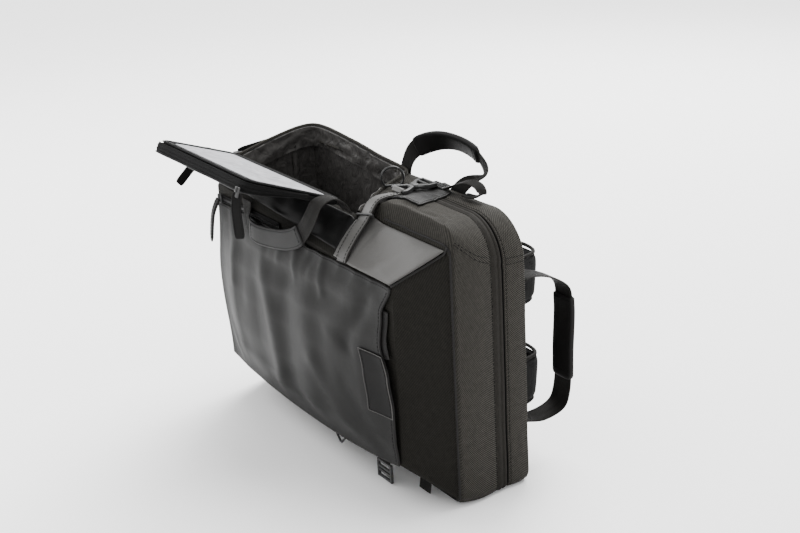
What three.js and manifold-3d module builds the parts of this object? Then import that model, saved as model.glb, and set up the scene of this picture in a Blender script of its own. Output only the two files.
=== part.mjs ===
// A camera backpack lying on its long side, with the hatch to its camera compartment open on top.
// Millimetres. +X runs from the worn bottom to the worn top, -Y is the front, +Z is up as it lies.
import * as THREE from "three";
import { LoftGeometry } from "three/addons/geometries/LoftGeometry.js";
import { mergeVertices } from "three/addons/utils/BufferGeometryUtils.js";
import Module from "manifold-3d";

const wasm = await Module();
wasm.setup();

// The body
const BAG_LENGTH = 456;
const BAG_WIDTH = 331;
const BAND_DEPTH = 100;
const TAPER_DEPTH = 52;
const WALL = 6;
const NEAR_TAPER = 40;
const FAR_TAPER = 6;
const LOW_TAPER = 55;
const HIGH_TAPER = 56;
const SHOULDER_RADIUS = 51;
const HEM_RADIUS = 12;
const CLEARANCE = 0.3;
const PIPING = 3.6;

// The main zip round the band, measured from the band's front edge
const ZIP_FROM_FRONT = 65;
const ZIP_WIDTH = 6;
const ZIP_RECESS = 1.2;

// The mouth of the camera compartment
const MOUTH_FRONT = 14;
const MOUTH_NEAR_END = 62;
const MOUTH_SLANT = 56;
const SADDLE = 40;
const RIM_THICKNESS = 4;
const RIM_HEIGHT = 22;
const LINING = 1.5;
const LINING_DROP = 20;
const CELL_WALL = 4;

// The hatch flap
const FLAP_WIDTH = 117;
const FLAP_LENGTH = 264;
const FLAP_THICKNESS = 8;
const FLAP_LIFT_DEG = 21;
const FLAP_CORNER = 16;
const FLAP_BORDER = 13;
const HINGE_FROM_FRONT = 20;
const FLAP_LIP = 14;

// Cloth, straps, webbing and leather
const CLOTH = 2;
const POCKET_BULGE = 18;
const POCKET_SAG = 13;
const POCKET_FLARE = 14;
const STRAP_WIDTH = 24;
const STRAP_THICKNESS = 2.4;
const WEB_WIDTH = 22;
const WEB_THICKNESS = 1.8;
const GRIP_THICKNESS = 9;
const TOP_HANDLE_WIDTH = 30;
const TAB_WIDTH = 12;
const TAB_THICKNESS = 3;

// Handles: how far each one spans, stands out and rises
const REAR_HANDLE_SPAN = 140;
const REAR_HANDLE_LEAN = 27;
const REAR_HANDLE_RISE = 41;
const FRONT_HANDLE_SPAN = 184;
const FRONT_HANDLE_RISE = 76;
const TOP_HANDLE_SPAN = 172;
const TOP_HANDLE_REACH = 72;

// The wearer's side
const PAD_THICKNESS = 12;
const PAD_MARGIN = 34;
const SHOULDER_STRAP_WIDTH = 58;
const SHOULDER_STRAP_THICKNESS = 13;
const SHOULDER_STRAP_REACH = 54;
const SHOULDER_STRAP_LENGTH = 300;
const SHOULDER_STRAP_GAP = 130;

// Small hardware
const BUCKLE_WIDTH = 28;
const BUCKLE_LENGTH = 46;
const BUCKLE_THICKNESS = 7;
const RING_RADIUS = 12;
const RING_WIRE = 3;
const LOCK_WIDTH = 30;
const LOCK_LENGTH = 24;
const LOCK_THICKNESS = 4;

const HALF = BAG_LENGTH / 2;
const FRONT_Y = -TAPER_DEPTH;
const FRONT_TOP = BAG_WIDTH - HIGH_TAPER;

const FINISHES = {
  woven: { color: 0x34322f, roughness: 0.85, metalness: 0 },
  coated: { color: 0x55544f, roughness: 0.5, metalness: 0 },
  lining: { color: 0x3c3a39, roughness: 0.6, metalness: 0 },
  pale_lining: { color: 0xc4c4c6, roughness: 0.55, metalness: 0 },
  leather: { color: 0x222122, roughness: 0.55, metalness: 0 },
  webbing: { color: 0x2a2927, roughness: 0.9, metalness: 0 },
  zip: { color: 0x1c1b1b, roughness: 0.7, metalness: 0 },
  plastic: { color: 0x4a4a49, roughness: 0.45, metalness: 0 },
  metal: { color: 0x2c2b2c, roughness: 0.35, metalness: 1 },
  mesh: { color: 0x201f1f, roughness: 0.95, metalness: 0 },
};

const bag = new THREE.Group();
bag.position.set(0, -BAND_DEPTH / 2, 0);

const at = (x, y, z) => new THREE.Vector3(x, y, z);
const mix = (a, b, t) => a + (b - a) * t;
const radians = THREE.MathUtils.degToRad;

// The value at t, from 0 to 1, on a smooth line through evenly spaced values.
function along(values, t) {
  const x = Math.min(Math.max(t, 0), 1) * (values.length - 1);
  const i = Math.min(Math.floor(x), values.length - 2);
  const f = x - i;
  return mix(values[i], values[i + 1], f * f * (3 - 2 * f));
}

// A copy of a geometry with its shared corners merged and its faces pointing out.
function welded(geometry) {
  const bare = new THREE.BufferGeometry().copy(geometry);
  bare.deleteAttribute("normal");
  bare.deleteAttribute("uv");
  const merged = mergeVertices(bare, 1e-4);
  const p = merged.attributes.position;
  const index = merged.index.array;
  const corner = [at(0, 0, 0), at(0, 0, 0), at(0, 0, 0)];
  let volume = 0;
  for (let i = 0; i < index.length; i += 3) {
    corner.forEach((c, k) => c.fromBufferAttribute(p, index[i + k]));
    volume += corner[0].dot(corner[1].clone().cross(corner[2]));
  }
  if (volume < 0) {
    for (let i = 0; i < index.length; i += 3) {
      [index[i + 1], index[i + 2]] = [index[i + 2], index[i + 1]];
    }
  }
  return merged;
}

function toSolid(geometry) {
  const merged = welded(geometry);
  return new wasm.Manifold(
    new wasm.Mesh({
      numProp: 3,
      vertProperties: new Float32Array(merged.attributes.position.array),
      triVerts: new Uint32Array(merged.index.array),
    }),
  );
}

function toGeometry(solid) {
  const mesh = solid.getMesh();
  const positions = new THREE.BufferAttribute(new Float32Array(mesh.vertProperties), 3);
  const geometry = new THREE.BufferGeometry().setAttribute("position", positions);
  geometry.setIndex(new THREE.BufferAttribute(new Uint32Array(mesh.triVerts), 1));
  return geometry;
}

function add(parent, name, finish, geometry) {
  const made = welded(geometry);
  made.computeVertexNormals();
  const mesh = new THREE.Mesh(made, new THREE.MeshStandardMaterial(FINISHES[finish]));
  mesh.name = name;
  parent.add(mesh);
}

// A closed body through sections, each one turned to wind counterclockwise seen from the last.
function loft(sections) {
  const centre = (points) => points.reduce((sum, p) => sum.add(p), at(0, 0, 0)).divideScalar(points.length);
  const [start, next] = sections;
  const middle = centre(start);
  const wound = start.reduce((sum, p, i) => {
    const after = start[(i + 1) % start.length];
    return sum.add(p.clone().sub(middle).cross(after.clone().sub(middle)));
  }, at(0, 0, 0));
  const turned = wound.dot(centre(next).sub(middle)) < 0;
  const ordered = turned ? sections.map((points) => [...points].reverse()) : sections;
  return new LoftGeometry(ordered, { capStart: true, capEnd: true });
}

function box(x0, x1, y0, y1, z0, z1) {
  const geometry = new THREE.BoxGeometry(x1 - x0, y1 - y0, z1 - z0);
  return geometry.translate((x0 + x1) / 2, (y0 + y1) / 2, (z0 + z1) / 2);
}

// An upright prism over an outline of [x, y] corners, from z0 to z1.
function prism(corners, z0, z1) {
  const shape = new THREE.Shape(corners.map(([x, y]) => new THREE.Vector2(x, y)));
  const geometry = new THREE.ExtrudeGeometry(shape, { depth: z1 - z0, bevelEnabled: false });
  return geometry.translate(0, 0, z0);
}

// Sections of the body from front to back. The insets of its near, far and low sides are shares of
// the tapers. The upper side falls below the bag's width by shares of HIGH_TAPER: at its far end, at
// the mouth's near end, and from the saddle on. shoulder is a share of SHOULDER_RADIUS.
const BODY = [
  { y: FRONT_Y, near: 1, far: 1, low: 1, falls: [0.59, 0.96, 1], shoulder: 0.12 },
  { y: -0.77 * TAPER_DEPTH, near: 0.77, far: 0.8, low: 0.8, falls: [0.32, 0.62, 0.84], shoulder: 0.14 },
  { y: -0.38 * TAPER_DEPTH, near: 0.38, far: 0.6, low: 0.48, falls: [0.2, 0.27, 0.57], shoulder: 0.16 },
  { y: -0.04 * TAPER_DEPTH, near: 0.07, far: 0.5, low: 0.18, falls: [0.16, 0.21, 0.33], shoulder: 0.18 },
  { y: 0.03 * BAND_DEPTH, near: 0, far: 0.1, low: 0.04, falls: [0.14, 0.16, -0.13], shoulder: 0.35 },
  { y: 0.3 * BAND_DEPTH, near: -0.03, far: 0, low: 0, falls: [0.09, 0.09, -0.05], shoulder: 0.75 },
  { y: ZIP_FROM_FRONT, near: 0, far: 0, low: 0, falls: [0.04, 0.02, 0], shoulder: 1 },
  { y: 0.97 * BAND_DEPTH, near: 0, far: 0, low: 0, falls: [0.04, 0.02, 0.03], shoulder: 1 },
  { y: BAND_DEPTH, near: 0.06, far: 0.4, low: 0.04, falls: [0.09, 0.07, 0.08], shoulder: 0.98 },
];
const FRONT_HEM = 0.5;

function bodyRow(y) {
  const above = BODY.findIndex((row, k) => k > 0 && y <= row.y);
  const i = (above < 0 ? BODY.length - 1 : above) - 1;
  const [a, b] = [BODY[i], BODY[i + 1]];
  const t = (y - a.y) / (b.y - a.y);
  const inset = (key, length) => length * mix(a[key], b[key], t);
  return {
    near: HALF - inset("near", NEAR_TAPER),
    far: -HALF + inset("far", FAR_TAPER),
    low: inset("low", LOW_TAPER),
    highs: a.falls.map((fall, k) => BAG_WIDTH - HIGH_TAPER * mix(fall, b.falls[k], t)),
    shoulder: inset("shoulder", SHOULDER_RADIUS),
    hem: HEM_RADIUS * (y < 0 ? FRONT_HEM : 1),
  };
}

// The height of the upper side at a place away from its rounded corners.
function topAt(x, y) {
  const { highs } = bodyRow(Math.min(Math.max(y, FRONT_Y), BAND_DEPTH));
  const saddle = MOUTH_NEAR_END + SADDLE;
  if (x >= saddle) return highs[2];
  if (x >= MOUTH_NEAR_END) return mix(highs[1], highs[2], (x - MOUTH_NEAR_END) / SADDLE);
  return mix(highs[0], highs[1], (x + HALF) / (MOUTH_NEAR_END + HALF));
}

// One section of the body at depth y, drawn in by inset on every side.
function bodySection(y, inset, placedAt) {
  const row = bodyRow(y);
  const near = row.near - inset;
  const far = row.far + inset;
  const low = row.low + inset;
  const [farHigh, mouthHigh, high] = row.highs.map((z) => z - inset);
  const shoulder = Math.max(1, row.shoulder - inset);
  const hem = Math.max(1, row.hem - inset);
  const points = [];
  const corner = (x, z, radius, start, steps) => {
    for (let i = 0; i <= steps; i++) {
      const angle = radians(start + (90 * i) / steps);
      points.push(at(x + radius * Math.cos(angle), placedAt, z + radius * Math.sin(angle)));
    }
  };
  corner(near - hem, low + hem, hem, -90, 2);
  corner(near - shoulder, high - shoulder, shoulder, 0, 6);
  points.push(at(MOUTH_NEAR_END + SADDLE, placedAt, high));
  points.push(at(MOUTH_NEAR_END, placedAt, mouthHigh));
  corner(far + hem, farHigh - hem, hem, 90, 2);
  corner(far + hem, low + hem, hem, 180, 2);
  return points;
}

// The body between two depths, drawn in by inset. A negative inset makes it larger.
function bodySolid(inset, from = FRONT_Y + inset, to = BAND_DEPTH - inset) {
  const between = BODY.map((row) => row.y).filter((y) => y > from + 0.01 && y < to - 0.01);
  const inside = (y) => Math.min(Math.max(y, FRONT_Y), BAND_DEPTH);
  return toSolid(loft([from, ...between, to].map((y) => bodySection(inside(y), inset, y))));
}

const bodyCutter = bodySolid(-CLEARANCE);
const clearOfBody = (geometry) => toGeometry(toSolid(geometry).subtract(bodyCutter));

// A skin of the given thickness over the body, kept where it lies inside the region.
function skin(region, thickness, lift = CLEARANCE) {
  const layer = bodySolid(-lift - thickness).subtract(bodySolid(-lift));
  return toGeometry(layer.intersect(toSolid(region)));
}

// The mouth in plan, drawn in by inset, its near end slanting.
const MOUTH_FAR = -HALF + WALL + 1;
const MOUTH_BACK = BAND_DEPTH - WALL;
const mouthNear = (y) => {
  const t = Math.min(Math.max((y + MOUTH_FRONT) / (MOUTH_BACK + MOUTH_FRONT), 0), 1);
  return MOUTH_NEAR_END - t * MOUTH_SLANT;
};

function mouthSolid() {
  const outline = [
    [MOUTH_FAR, -MOUTH_FRONT],
    [mouthNear(-MOUTH_FRONT), -MOUTH_FRONT],
    [mouthNear(MOUTH_BACK), MOUTH_BACK],
    [MOUTH_FAR, MOUTH_BACK],
  ];
  return toSolid(prism(outline, FRONT_TOP, BAG_WIDTH + HIGH_TAPER));
}

// The woven shell: front half with its taper, the zip band, and the back half.
function buildShell() {
  const reach = BAG_LENGTH + BAG_WIDTH;
  const slab = (y0, y1) => toSolid(box(-reach, reach, y0, y1, -reach, reach));
  const walls = bodySolid(0).subtract(bodySolid(WALL)).subtract(mouthSolid());
  const zipEnd = ZIP_FROM_FRONT + ZIP_WIDTH;
  const band = bodySolid(ZIP_RECESS)
    .subtract(bodySolid(WALL))
    .subtract(mouthSolid())
    .intersect(slab(ZIP_FROM_FRONT + CLEARANCE, zipEnd - CLEARANCE));
  add(bag, "shell_front", "woven", toGeometry(walls.intersect(slab(-reach, ZIP_FROM_FRONT))));
  add(bag, "main_zip_band", "zip", toGeometry(band));
  add(bag, "shell_back", "woven", toGeometry(walls.intersect(slab(zipEnd, reach))));
}

// Piping on the band's front edge, from the far side under the bag and up to the strap.
function buildPiping() {
  const reach = BAG_LENGTH;
  const strapEnd = MOUTH_NEAR_END + SADDLE;
  const upper = toSolid(box(-reach, strapEnd, -reach, reach, FRONT_TOP, BAG_WIDTH + reach));
  const ring = toSolid(box(-reach, reach, -PIPING / 2, PIPING / 2, 0, BAG_WIDTH + reach));
  const layer = bodySolid(-CLEARANCE - PIPING / 2).subtract(bodyCutter);
  add(bag, "band_piping", "leather", toGeometry(layer.intersect(ring).subtract(upper)));
}

// An upright wall along a plan path. Each row has x, y and the height of its upper edge.
function wall(path, thickness, foot) {
  const sections = path.map((row, i) => {
    const before = path[Math.max(i - 1, 0)];
    const after = path[Math.min(i + 1, path.length - 1)];
    const way = at(after.x - before.x, after.y - before.y, 0).normalize();
    const side = at(way.y, -way.x, 0).multiplyScalar(thickness / 2);
    const base = at(row.x, row.y, foot);
    const top = at(row.x, row.y, row.top);
    return [
      base.clone().add(side),
      top.clone().add(side),
      top.clone().sub(side),
      base.clone().sub(side),
    ];
  });
  return loft(sections);
}

// The mouth's rim from the far front corner round the back to the near front corner. The far and
// back stretches stand over the walls, and rise is a share of RIM_HEIGHT.
const RIM = [
  { side: "far", share: 0, rise: 0.45 },
  { side: "far", share: 0.45, rise: 0.72 },
  { side: "far", share: 0.85, rise: 0.94 },
  { side: "back", share: 0.03, rise: 1 },
  { side: "back", share: 0.45, rise: 0.86 },
  { side: "back", share: 0.72, rise: 0.52 },
  { side: "back", share: 0.96, rise: 0.3 },
  { side: "near", share: 0.06, rise: 0.28 },
  { side: "near", share: 0.5, rise: 0.25 },
  { side: "near", share: 0.96, rise: 0.22 },
];

function rimPath(out, lowered) {
  const front = -MOUTH_FRONT - out;
  const back = MOUTH_BACK + out;
  const far = MOUTH_FAR - out;
  return RIM.map(({ side, share, rise }) => {
    const near = mouthNear(MOUTH_BACK) + out;
    const y = { far: mix(front, back, share), back, near: mix(back, front, share) }[side];
    const x = { far, back: mix(far, near, share), near: mouthNear(y) + out }[side];
    return { x, y, top: topAt(x, y) + rise * RIM_HEIGHT - lowered };
  });
}

function buildMouth() {
  const rim = wall(rimPath(WALL / 2, 0), RIM_THICKNESS, FRONT_TOP);
  add(bag, "mouth_rim", "woven", clearOfBody(rim));
  const lining = wall(rimPath(-CLEARANCE - LINING, 2), LINING, FRONT_TOP + HIGH_TAPER - LINING_DROP);
  add(bag, "mouth_lining", "lining", lining);
  const gap = 3 * CLEARANCE + LINING;
  const near = (y) => mouthNear(y) + gap;
  const plate = prism(
    [
      [near(-TAPER_DEPTH), -TAPER_DEPTH],
      [near(-TAPER_DEPTH) + CELL_WALL, -TAPER_DEPTH],
      [near(-MOUTH_FRONT) + CELL_WALL, -MOUTH_FRONT],
      [near(BAND_DEPTH) + CELL_WALL, BAND_DEPTH],
      [near(BAND_DEPTH), BAND_DEPTH],
      [near(-MOUTH_FRONT), -MOUTH_FRONT],
    ],
    0,
    BAG_WIDTH + HIGH_TAPER,
  );
  const cell = toSolid(plate).intersect(bodySolid(WALL + CLEARANCE));
  add(bag, "cell_wall", "lining", toGeometry(cell));
}

// A shape over [x, y] corners, each one rounded.
function roundedShape(corners, radius) {
  const shape = new THREE.Shape();
  const count = corners.length;
  const toward = ([x, y], [toX, toY]) => {
    const share = radius / Math.hypot(toX - x, toY - y);
    return [mix(x, toX, share), mix(y, toY, share)];
  };
  corners.forEach((corner, i) => {
    const start = toward(corner, corners[(i + count - 1) % count]);
    const end = toward(corner, corners[(i + 1) % count]);
    if (i === 0) shape.moveTo(...start);
    else shape.lineTo(...start);
    shape.quadraticCurveTo(...corner, ...end);
  });
  shape.closePath();
  return shape;
}

// A flat plate with rounded corners, centred on z = 0.
function plate(corners, radius, thickness) {
  const options = { depth: thickness, bevelEnabled: false, curveSegments: 4 };
  const geometry = new THREE.ExtrudeGeometry(roundedShape(corners, radius), options);
  return geometry.translate(0, 0, -thickness / 2);
}

// The flap turns about its hinge, so its own group holds it flat: -Y runs from hinge to free edge
// and +Z is its inner face.
function flapOutline(inset) {
  const slant = (MOUTH_SLANT * FLAP_WIDTH) / (MOUTH_BACK + MOUTH_FRONT) / 3;
  const far = -HALF + FAR_TAPER;
  return [
    [far + inset, -inset],
    [far + inset, -FLAP_WIDTH + inset],
    [far + FLAP_LENGTH - slant - inset, -FLAP_WIDTH + inset],
    [far + FLAP_LENGTH - inset, -inset],
  ];
}

const flapSeat = (FLAP_THICKNESS / 2) * Math.cos(radians(FLAP_LIFT_DEG)) + 2 * CLEARANCE + CLOTH / 2;
const flap = new THREE.Group();
flap.position.set(0, -HINGE_FROM_FRONT, topAt(-HALF, -HINGE_FROM_FRONT) + flapSeat);
flap.rotation.x = -radians(FLAP_LIFT_DEG);
bag.add(flap);

function buildFlap() {
  const inner = FLAP_THICKNESS / 2 + CLEARANCE + LINING / 2;
  const panel = plate(flapOutline(0), FLAP_CORNER, FLAP_THICKNESS);
  add(flap, "hatch_flap", "coated", panel);
  const tape = toSolid(plate(flapOutline(1), FLAP_CORNER, LINING)).subtract(
    toSolid(plate(flapOutline(FLAP_BORDER), FLAP_CORNER, 3 * LINING)),
  );
  add(flap, "flap_zip", "zip", toGeometry(tape).translate(0, 0, inner));
  const lining = plate(flapOutline(FLAP_BORDER + CLEARANCE), FLAP_CORNER, LINING);
  add(flap, "flap_lining", "pale_lining", lining.translate(0, 0, inner));
  // The rain lip hangs from the free edge, below the panel's outer face.
  const [, [x0, y0], [x1]] = flapOutline(0);
  const lip = [0, 0.5, 1].map((share) => {
    const y = y0 - CLEARANCE - CLOTH * share;
    const z = FLAP_THICKNESS / 2 - share * FLAP_LIP;
    const [far, near] = [x0 + FLAP_CORNER, x1 - FLAP_CORNER];
    return [at(far, y, z), at(near, y, z), at(near, y - CLOTH, z), at(far, y - CLOTH, z)];
  });
  add(flap, "flap_lip", "coated", loft(lip));
}

// A sheet of cloth: outer(u, v) gives its outer face and inward its thickness as a vector.
function sheet(outer, inward, stepsU, stepsV) {
  const sections = [];
  for (let i = 0; i <= stepsU; i++) {
    const section = [];
    for (let j = 0; j <= stepsV; j++) {
      section.push(outer(i / stepsU, j / stepsV));
    }
    for (let j = stepsV; j >= 0; j--) {
      section.push(outer(i / stepsU, j / stepsV).add(inward));
    }
    sections.push(section);
  }
  return loft(sections);
}

// The front pocket is one coated sheet, sewn on three sides and free at its near edge.
// Shares of POCKET_BULGE along the pocket from far to near, and up it from low to high.
const BULGE_ALONG = [0.03, 0.62, 0.88, 0.98, 1, 0.95, 0.78, 0.42];
const BULGE_UP = [0.25, 0.8, 1, 0.98, 0.8, 0.45, 0.05];
// How far the free edge is drawn back from low to high, as shares of NEAR_TAPER.
const FREE_EDGE = [0, -0.04, -0.08, 0.1, 0.48, 0.42, 0.02];
// Folds that fan from the upper seam: places at top and foot, depth as a share of the bulge, width.
const FOLDS = [
  { top: 0.16, foot: 0.3, depth: 0.12, width: 0.06 },
  { top: 0.42, foot: 0.56, depth: 0.17, width: 0.07 },
  { top: 0.58, foot: 0.86, depth: 0.2, width: 0.08 },
];
const SEAM = 2;
const POCKET_STEPS = [24, 12];

function pocketPoint(u, v) {
  const far = -HALF + FAR_TAPER + SEAM - POCKET_FLARE * Math.sin(Math.PI * v) ** 2;
  const x = mix(far, HALF - NEAR_TAPER * (1 + along(FREE_EDGE, v)), u);
  const sag = POCKET_SAG * Math.sin(Math.PI * u) ** 0.7 * (1 - v) ** 3;
  const z = mix(LOW_TAPER + SEAM, FRONT_TOP - SEAM, v) - sag;
  let out = along(BULGE_ALONG, u) * along(BULGE_UP, v);
  for (const { top, foot, depth, width } of FOLDS) {
    const away = (u - mix(foot, top, v)) / width;
    out += depth * Math.exp(-away * away) * Math.sin(Math.PI * v);
  }
  return at(x, FRONT_Y - CLEARANCE - CLOTH - POCKET_BULGE * out, z);
}

function buildPocket() {
  add(bag, "pocket_panel", "coated", sheet(pocketPoint, at(0, CLOTH, 0), ...POCKET_STEPS));
  const tab = (u, v) => {
    const p = pocketPoint(mix(0.885, 0.985, u), mix(0.27, 0.62, v));
    return p.add(at(0, -CLEARANCE - LINING, 0));
  };
  const behind = toSolid(sheet(pocketPoint, at(0, CLOTH, 0), ...POCKET_STEPS));
  const tabSolid = toSolid(sheet(tab, at(0, LINING, 0), 3, 8));
  add(bag, "leather_tab", "leather", toGeometry(tabSolid.subtract(behind.translate([0, -CLEARANCE, 0]))));
  const start = -HALF + FAR_TAPER + HEM_RADIUS;
  const zip = box(
    start,
    start + 0.34 * BAG_LENGTH,
    FRONT_Y - CLEARANCE - CLOTH,
    FRONT_Y - CLEARANCE,
    FRONT_TOP + SEAM,
    FRONT_TOP + SEAM + ZIP_WIDTH,
  );
  add(bag, "pocket_zip", "zip", zip);
}

// Coated panels on the upper slope: one in front of the hinge, one from the strap to the near end.
function buildSlopePanels() {
  const high = BAG_WIDTH + HIGH_TAPER;
  const seam = MOUTH_NEAR_END + STRAP_WIDTH / 3;
  const front = FRONT_Y - 2 * CLOTH;
  const zipTop = FRONT_TOP + SEAM + ZIP_WIDTH + CLEARANCE;
  const hinge = -HINGE_FROM_FRONT - CLEARANCE;
  const farBox = box(-HALF + FAR_TAPER + SEAM, seam - CLEARANCE, front, hinge, zipTop, high);
  add(bag, "hinge_panel", "coated", skin(farBox, CLOTH));
  const nearBox = box(seam, HALF - SEAM, front, -PIPING, FRONT_TOP + CLEARANCE, high);
  const nearSlope = toSolid(nearBox).subtract(
    toSolid(box(HALF - NEAR_TAPER - SEAM, HALF, front, FRONT_Y, 0, high)),
  );
  const sideways = toSolid(
    loft(
      [front, -PIPING].map((y) => {
        const row = bodyRow(Math.max(y, FRONT_Y));
        return [
          at(seam, y, FRONT_TOP),
          at(row.near - row.shoulder / 2, y, FRONT_TOP),
          at(row.near - row.shoulder / 2, y, high),
          at(seam, y, high),
        ];
      }),
    ),
  );
  add(bag, "slope_panel", "coated", skin(toGeometry(nearSlope.intersect(sideways)), CLOTH));
}

// A route through rows of shares of a named size each way from an anchor.
function route(anchor, size, rows) {
  return rows.map(({ at: [a, b, c], across }) => ({
    point: at(anchor.x + a * size.x, anchor.y + b * size.y, anchor.z + c * size.z),
    across: at(...across),
  }));
}

// A strip, or with more sides a rounded bar, along a route of so many steps, from step first to last.
function band(path, width, thickness, steps, { sides = 4, first = 0, last = steps } = {}) {
  const line = new THREE.CatmullRomCurve3(path.map((row) => row.point), false, "centripetal");
  const turn = new THREE.CatmullRomCurve3(path.map((row) => row.across), false, "centripetal");
  const round = (value) => Math.sign(value) * Math.abs(value) ** 0.6;
  const sections = [];
  for (let i = first; i <= last; i++) {
    const point = line.getPoint(i / steps);
    const way = line.getTangent(i / steps);
    const across = turn.getPoint(i / steps);
    across.addScaledVector(way, -across.dot(way)).normalize();
    const normal = way.clone().cross(across);
    const section = [];
    for (let k = 0; k < sides; k++) {
      const angle = (2 * Math.PI * (k + 0.5)) / sides;
      const [a, n] = [Math.cos(angle), Math.sin(angle)].map(sides === 4 ? Math.sign : round);
      const corner = point.clone().addScaledVector(across, (a * width) / 2);
      section.push(corner.addScaledVector(normal, (n * thickness) / 2));
    }
    sections.push(section);
  }
  return loft(sections);
}

// A plate with slots through it for webbing. Each slot is a share of the width, and runs from one
// share of the length to another.
function slottedPlate(width, length, thickness, slots) {
  const w = width / 2;
  const l = length / 2;
  const shape = roundedShape([[-w, -l], [w, -l], [w, l], [-w, l]], width / 8);
  for (const { across, from, to } of slots) {
    const half = across * w;
    const corners = [[-half, from], [-half, to], [half, to], [half, from]];
    shape.holes.push(new THREE.Path(corners.map(([x, y]) => new THREE.Vector2(x, mix(-l, l, y)))));
  }
  const options = { depth: thickness, bevelEnabled: false, curveSegments: 2 };
  return new THREE.ExtrudeGeometry(shape, options).translate(0, 0, -thickness / 2);
}

// The compression strap, from the pocket's upper seam over the slope to the buckle on top.
const STRAP_X = MOUTH_NEAR_END + 0.6 * STRAP_WIDTH;
const strapLift = CLOTH + 2 * CLEARANCE + STRAP_THICKNESS / 2;
const BUCKLE_Y = 0.58 * BAND_DEPTH;

function buildStrap() {
  const end = BUCKLE_Y - BUCKLE_LENGTH / 2 - 3 * CLEARANCE;
  const stations = [
    { x: 0.4, y: -0.97 * TAPER_DEPTH, lift: 1.2 },
    { x: 0.3, y: -0.7 * TAPER_DEPTH, lift: 1.3 },
    { x: 0.15, y: -0.3 * TAPER_DEPTH, lift: 1.6 },
    { x: 0, y: -0.02 * TAPER_DEPTH, lift: 3 },
    { x: 0, y: 0.08 * BAND_DEPTH, lift: 1.6 },
    { x: 0, y: end, lift: 1.2 },
  ];
  const across = at(1, 0, 0.15);
  const path = stations.map(({ x, y, lift }) => {
    const place = STRAP_X + x * STRAP_WIDTH;
    return { point: at(place, y, topAt(place, y) + lift * strapLift), across };
  });
  const slopes = bodySolid(-2 * CLEARANCE - CLOTH, FRONT_Y - 3 * CLOTH, -PIPING / 2 + CLEARANCE);
  const under = slopes.add(bodyCutter);
  const strap = toSolid(band(path, STRAP_WIDTH, STRAP_THICKNESS, 18)).subtract(under);
  add(bag, "side_strap", "coated", toGeometry(strap));
  // The keeper lies over the strap at the mouth's corner.
  const raised = path.map(({ point }) => ({
    point: point.clone().add(at(0, -0.5 * STRAP_THICKNESS, STRAP_THICKNESS + CLEARANCE)),
    across,
  }));
  const room = toSolid(band(path, 2 * STRAP_WIDTH, STRAP_THICKNESS + 2 * CLEARANCE, 18));
  const keeper = toSolid(
    band(raised, STRAP_WIDTH + SEAM, STRAP_THICKNESS, 18, { first: 8, last: 10 }),
  );
  add(bag, "strap_keeper", "coated", toGeometry(keeper.subtract(room).subtract(under)));

  const patch = prism(
    [
      [STRAP_X - 0.1 * STRAP_WIDTH, 0.2 * BAND_DEPTH],
      [STRAP_X + 2.6 * STRAP_WIDTH, 0.21 * BAND_DEPTH],
      [STRAP_X + 1.5 * STRAP_WIDTH, 0.84 * BAND_DEPTH],
      [STRAP_X - 0.4 * STRAP_WIDTH, 0.84 * BAND_DEPTH],
    ],
    FRONT_TOP,
    BAG_WIDTH + HIGH_TAPER,
  );
  const patchSkin = toSolid(skin(patch, CLOTH / 2)).subtract(
    toSolid(band(path, STRAP_WIDTH + SEAM, STRAP_THICKNESS + 2 * CLEARANCE, 18)),
  );
  add(bag, "strap_patch", "coated", toGeometry(patchSkin));
}

// The side-release buckle lies on top beside the mouth, its two halves along Y, with the metal
// adjuster behind it.
function buildBuckle() {
  const half = BUCKLE_LENGTH / 2;
  const ends = [BUCKLE_Y - half, BUCKLE_Y + half].map((y) => topAt(STRAP_X + BUCKLE_WIDTH / 2, y));
  const z = Math.max(...ends) + CLOTH / 2 + CLOTH + CLEARANCE + BUCKLE_THICKNESS / 2;
  const male = slottedPlate(BUCKLE_WIDTH, half, BUCKLE_THICKNESS, [
    { across: 0.76, from: 0.16, to: 0.31 },
  ]);
  add(bag, "buckle_male", "plastic", male.translate(STRAP_X, BUCKLE_Y - half / 2 - CLEARANCE, z));
  const female = slottedPlate(BUCKLE_WIDTH, half, BUCKLE_THICKNESS, [
    { across: 0.34, from: 0.2, to: 0.35 },
    { across: 0.76, from: 0.7, to: 0.85 },
  ]);
  add(bag, "buckle_female", "plastic", female.translate(STRAP_X, BUCKLE_Y + half / 2, z));
  const behind = BUCKLE_Y + half + CLEARANCE + LOCK_LENGTH / 4;
  const adjuster = slottedPlate(LOCK_WIDTH, LOCK_LENGTH / 2, LOCK_THICKNESS, [
    { across: 0.76, from: 0.35, to: 0.65 },
  ]);
  const seat = topAt(STRAP_X + LOCK_WIDTH, behind) + CLOTH + CLEARANCE + LOCK_THICKNESS / 2;
  add(bag, "strap_adjuster", "metal", adjuster.translate(STRAP_X + LOCK_WIDTH / 4, behind, seat));
}

// The webbing's spare end leaves the adjuster, arches up and turns back on itself.
const TAIL = [
  { at: [0, 0, 0], across: [0, 1, 0] },
  { at: [0.25, 0.1, 0.5], across: [0, 1, 0.1] },
  { at: [0.6, 0.3, 0.95], across: [0, 1, 0.2] },
  { at: [0.9, 0.3, 0.85], across: [0, 1, 0.3] },
  { at: [1, 0.2, 0.5], across: [0, 1, 0.3] },
  { at: [0.85, 0, 0.2], across: [0, 1, 0.1] },
  { at: [0.6, -0.1, 0.16], across: [0, 1, 0] },
];
const TAIL_LENGTH = 64;
const TAIL_RISE = 17;

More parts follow.
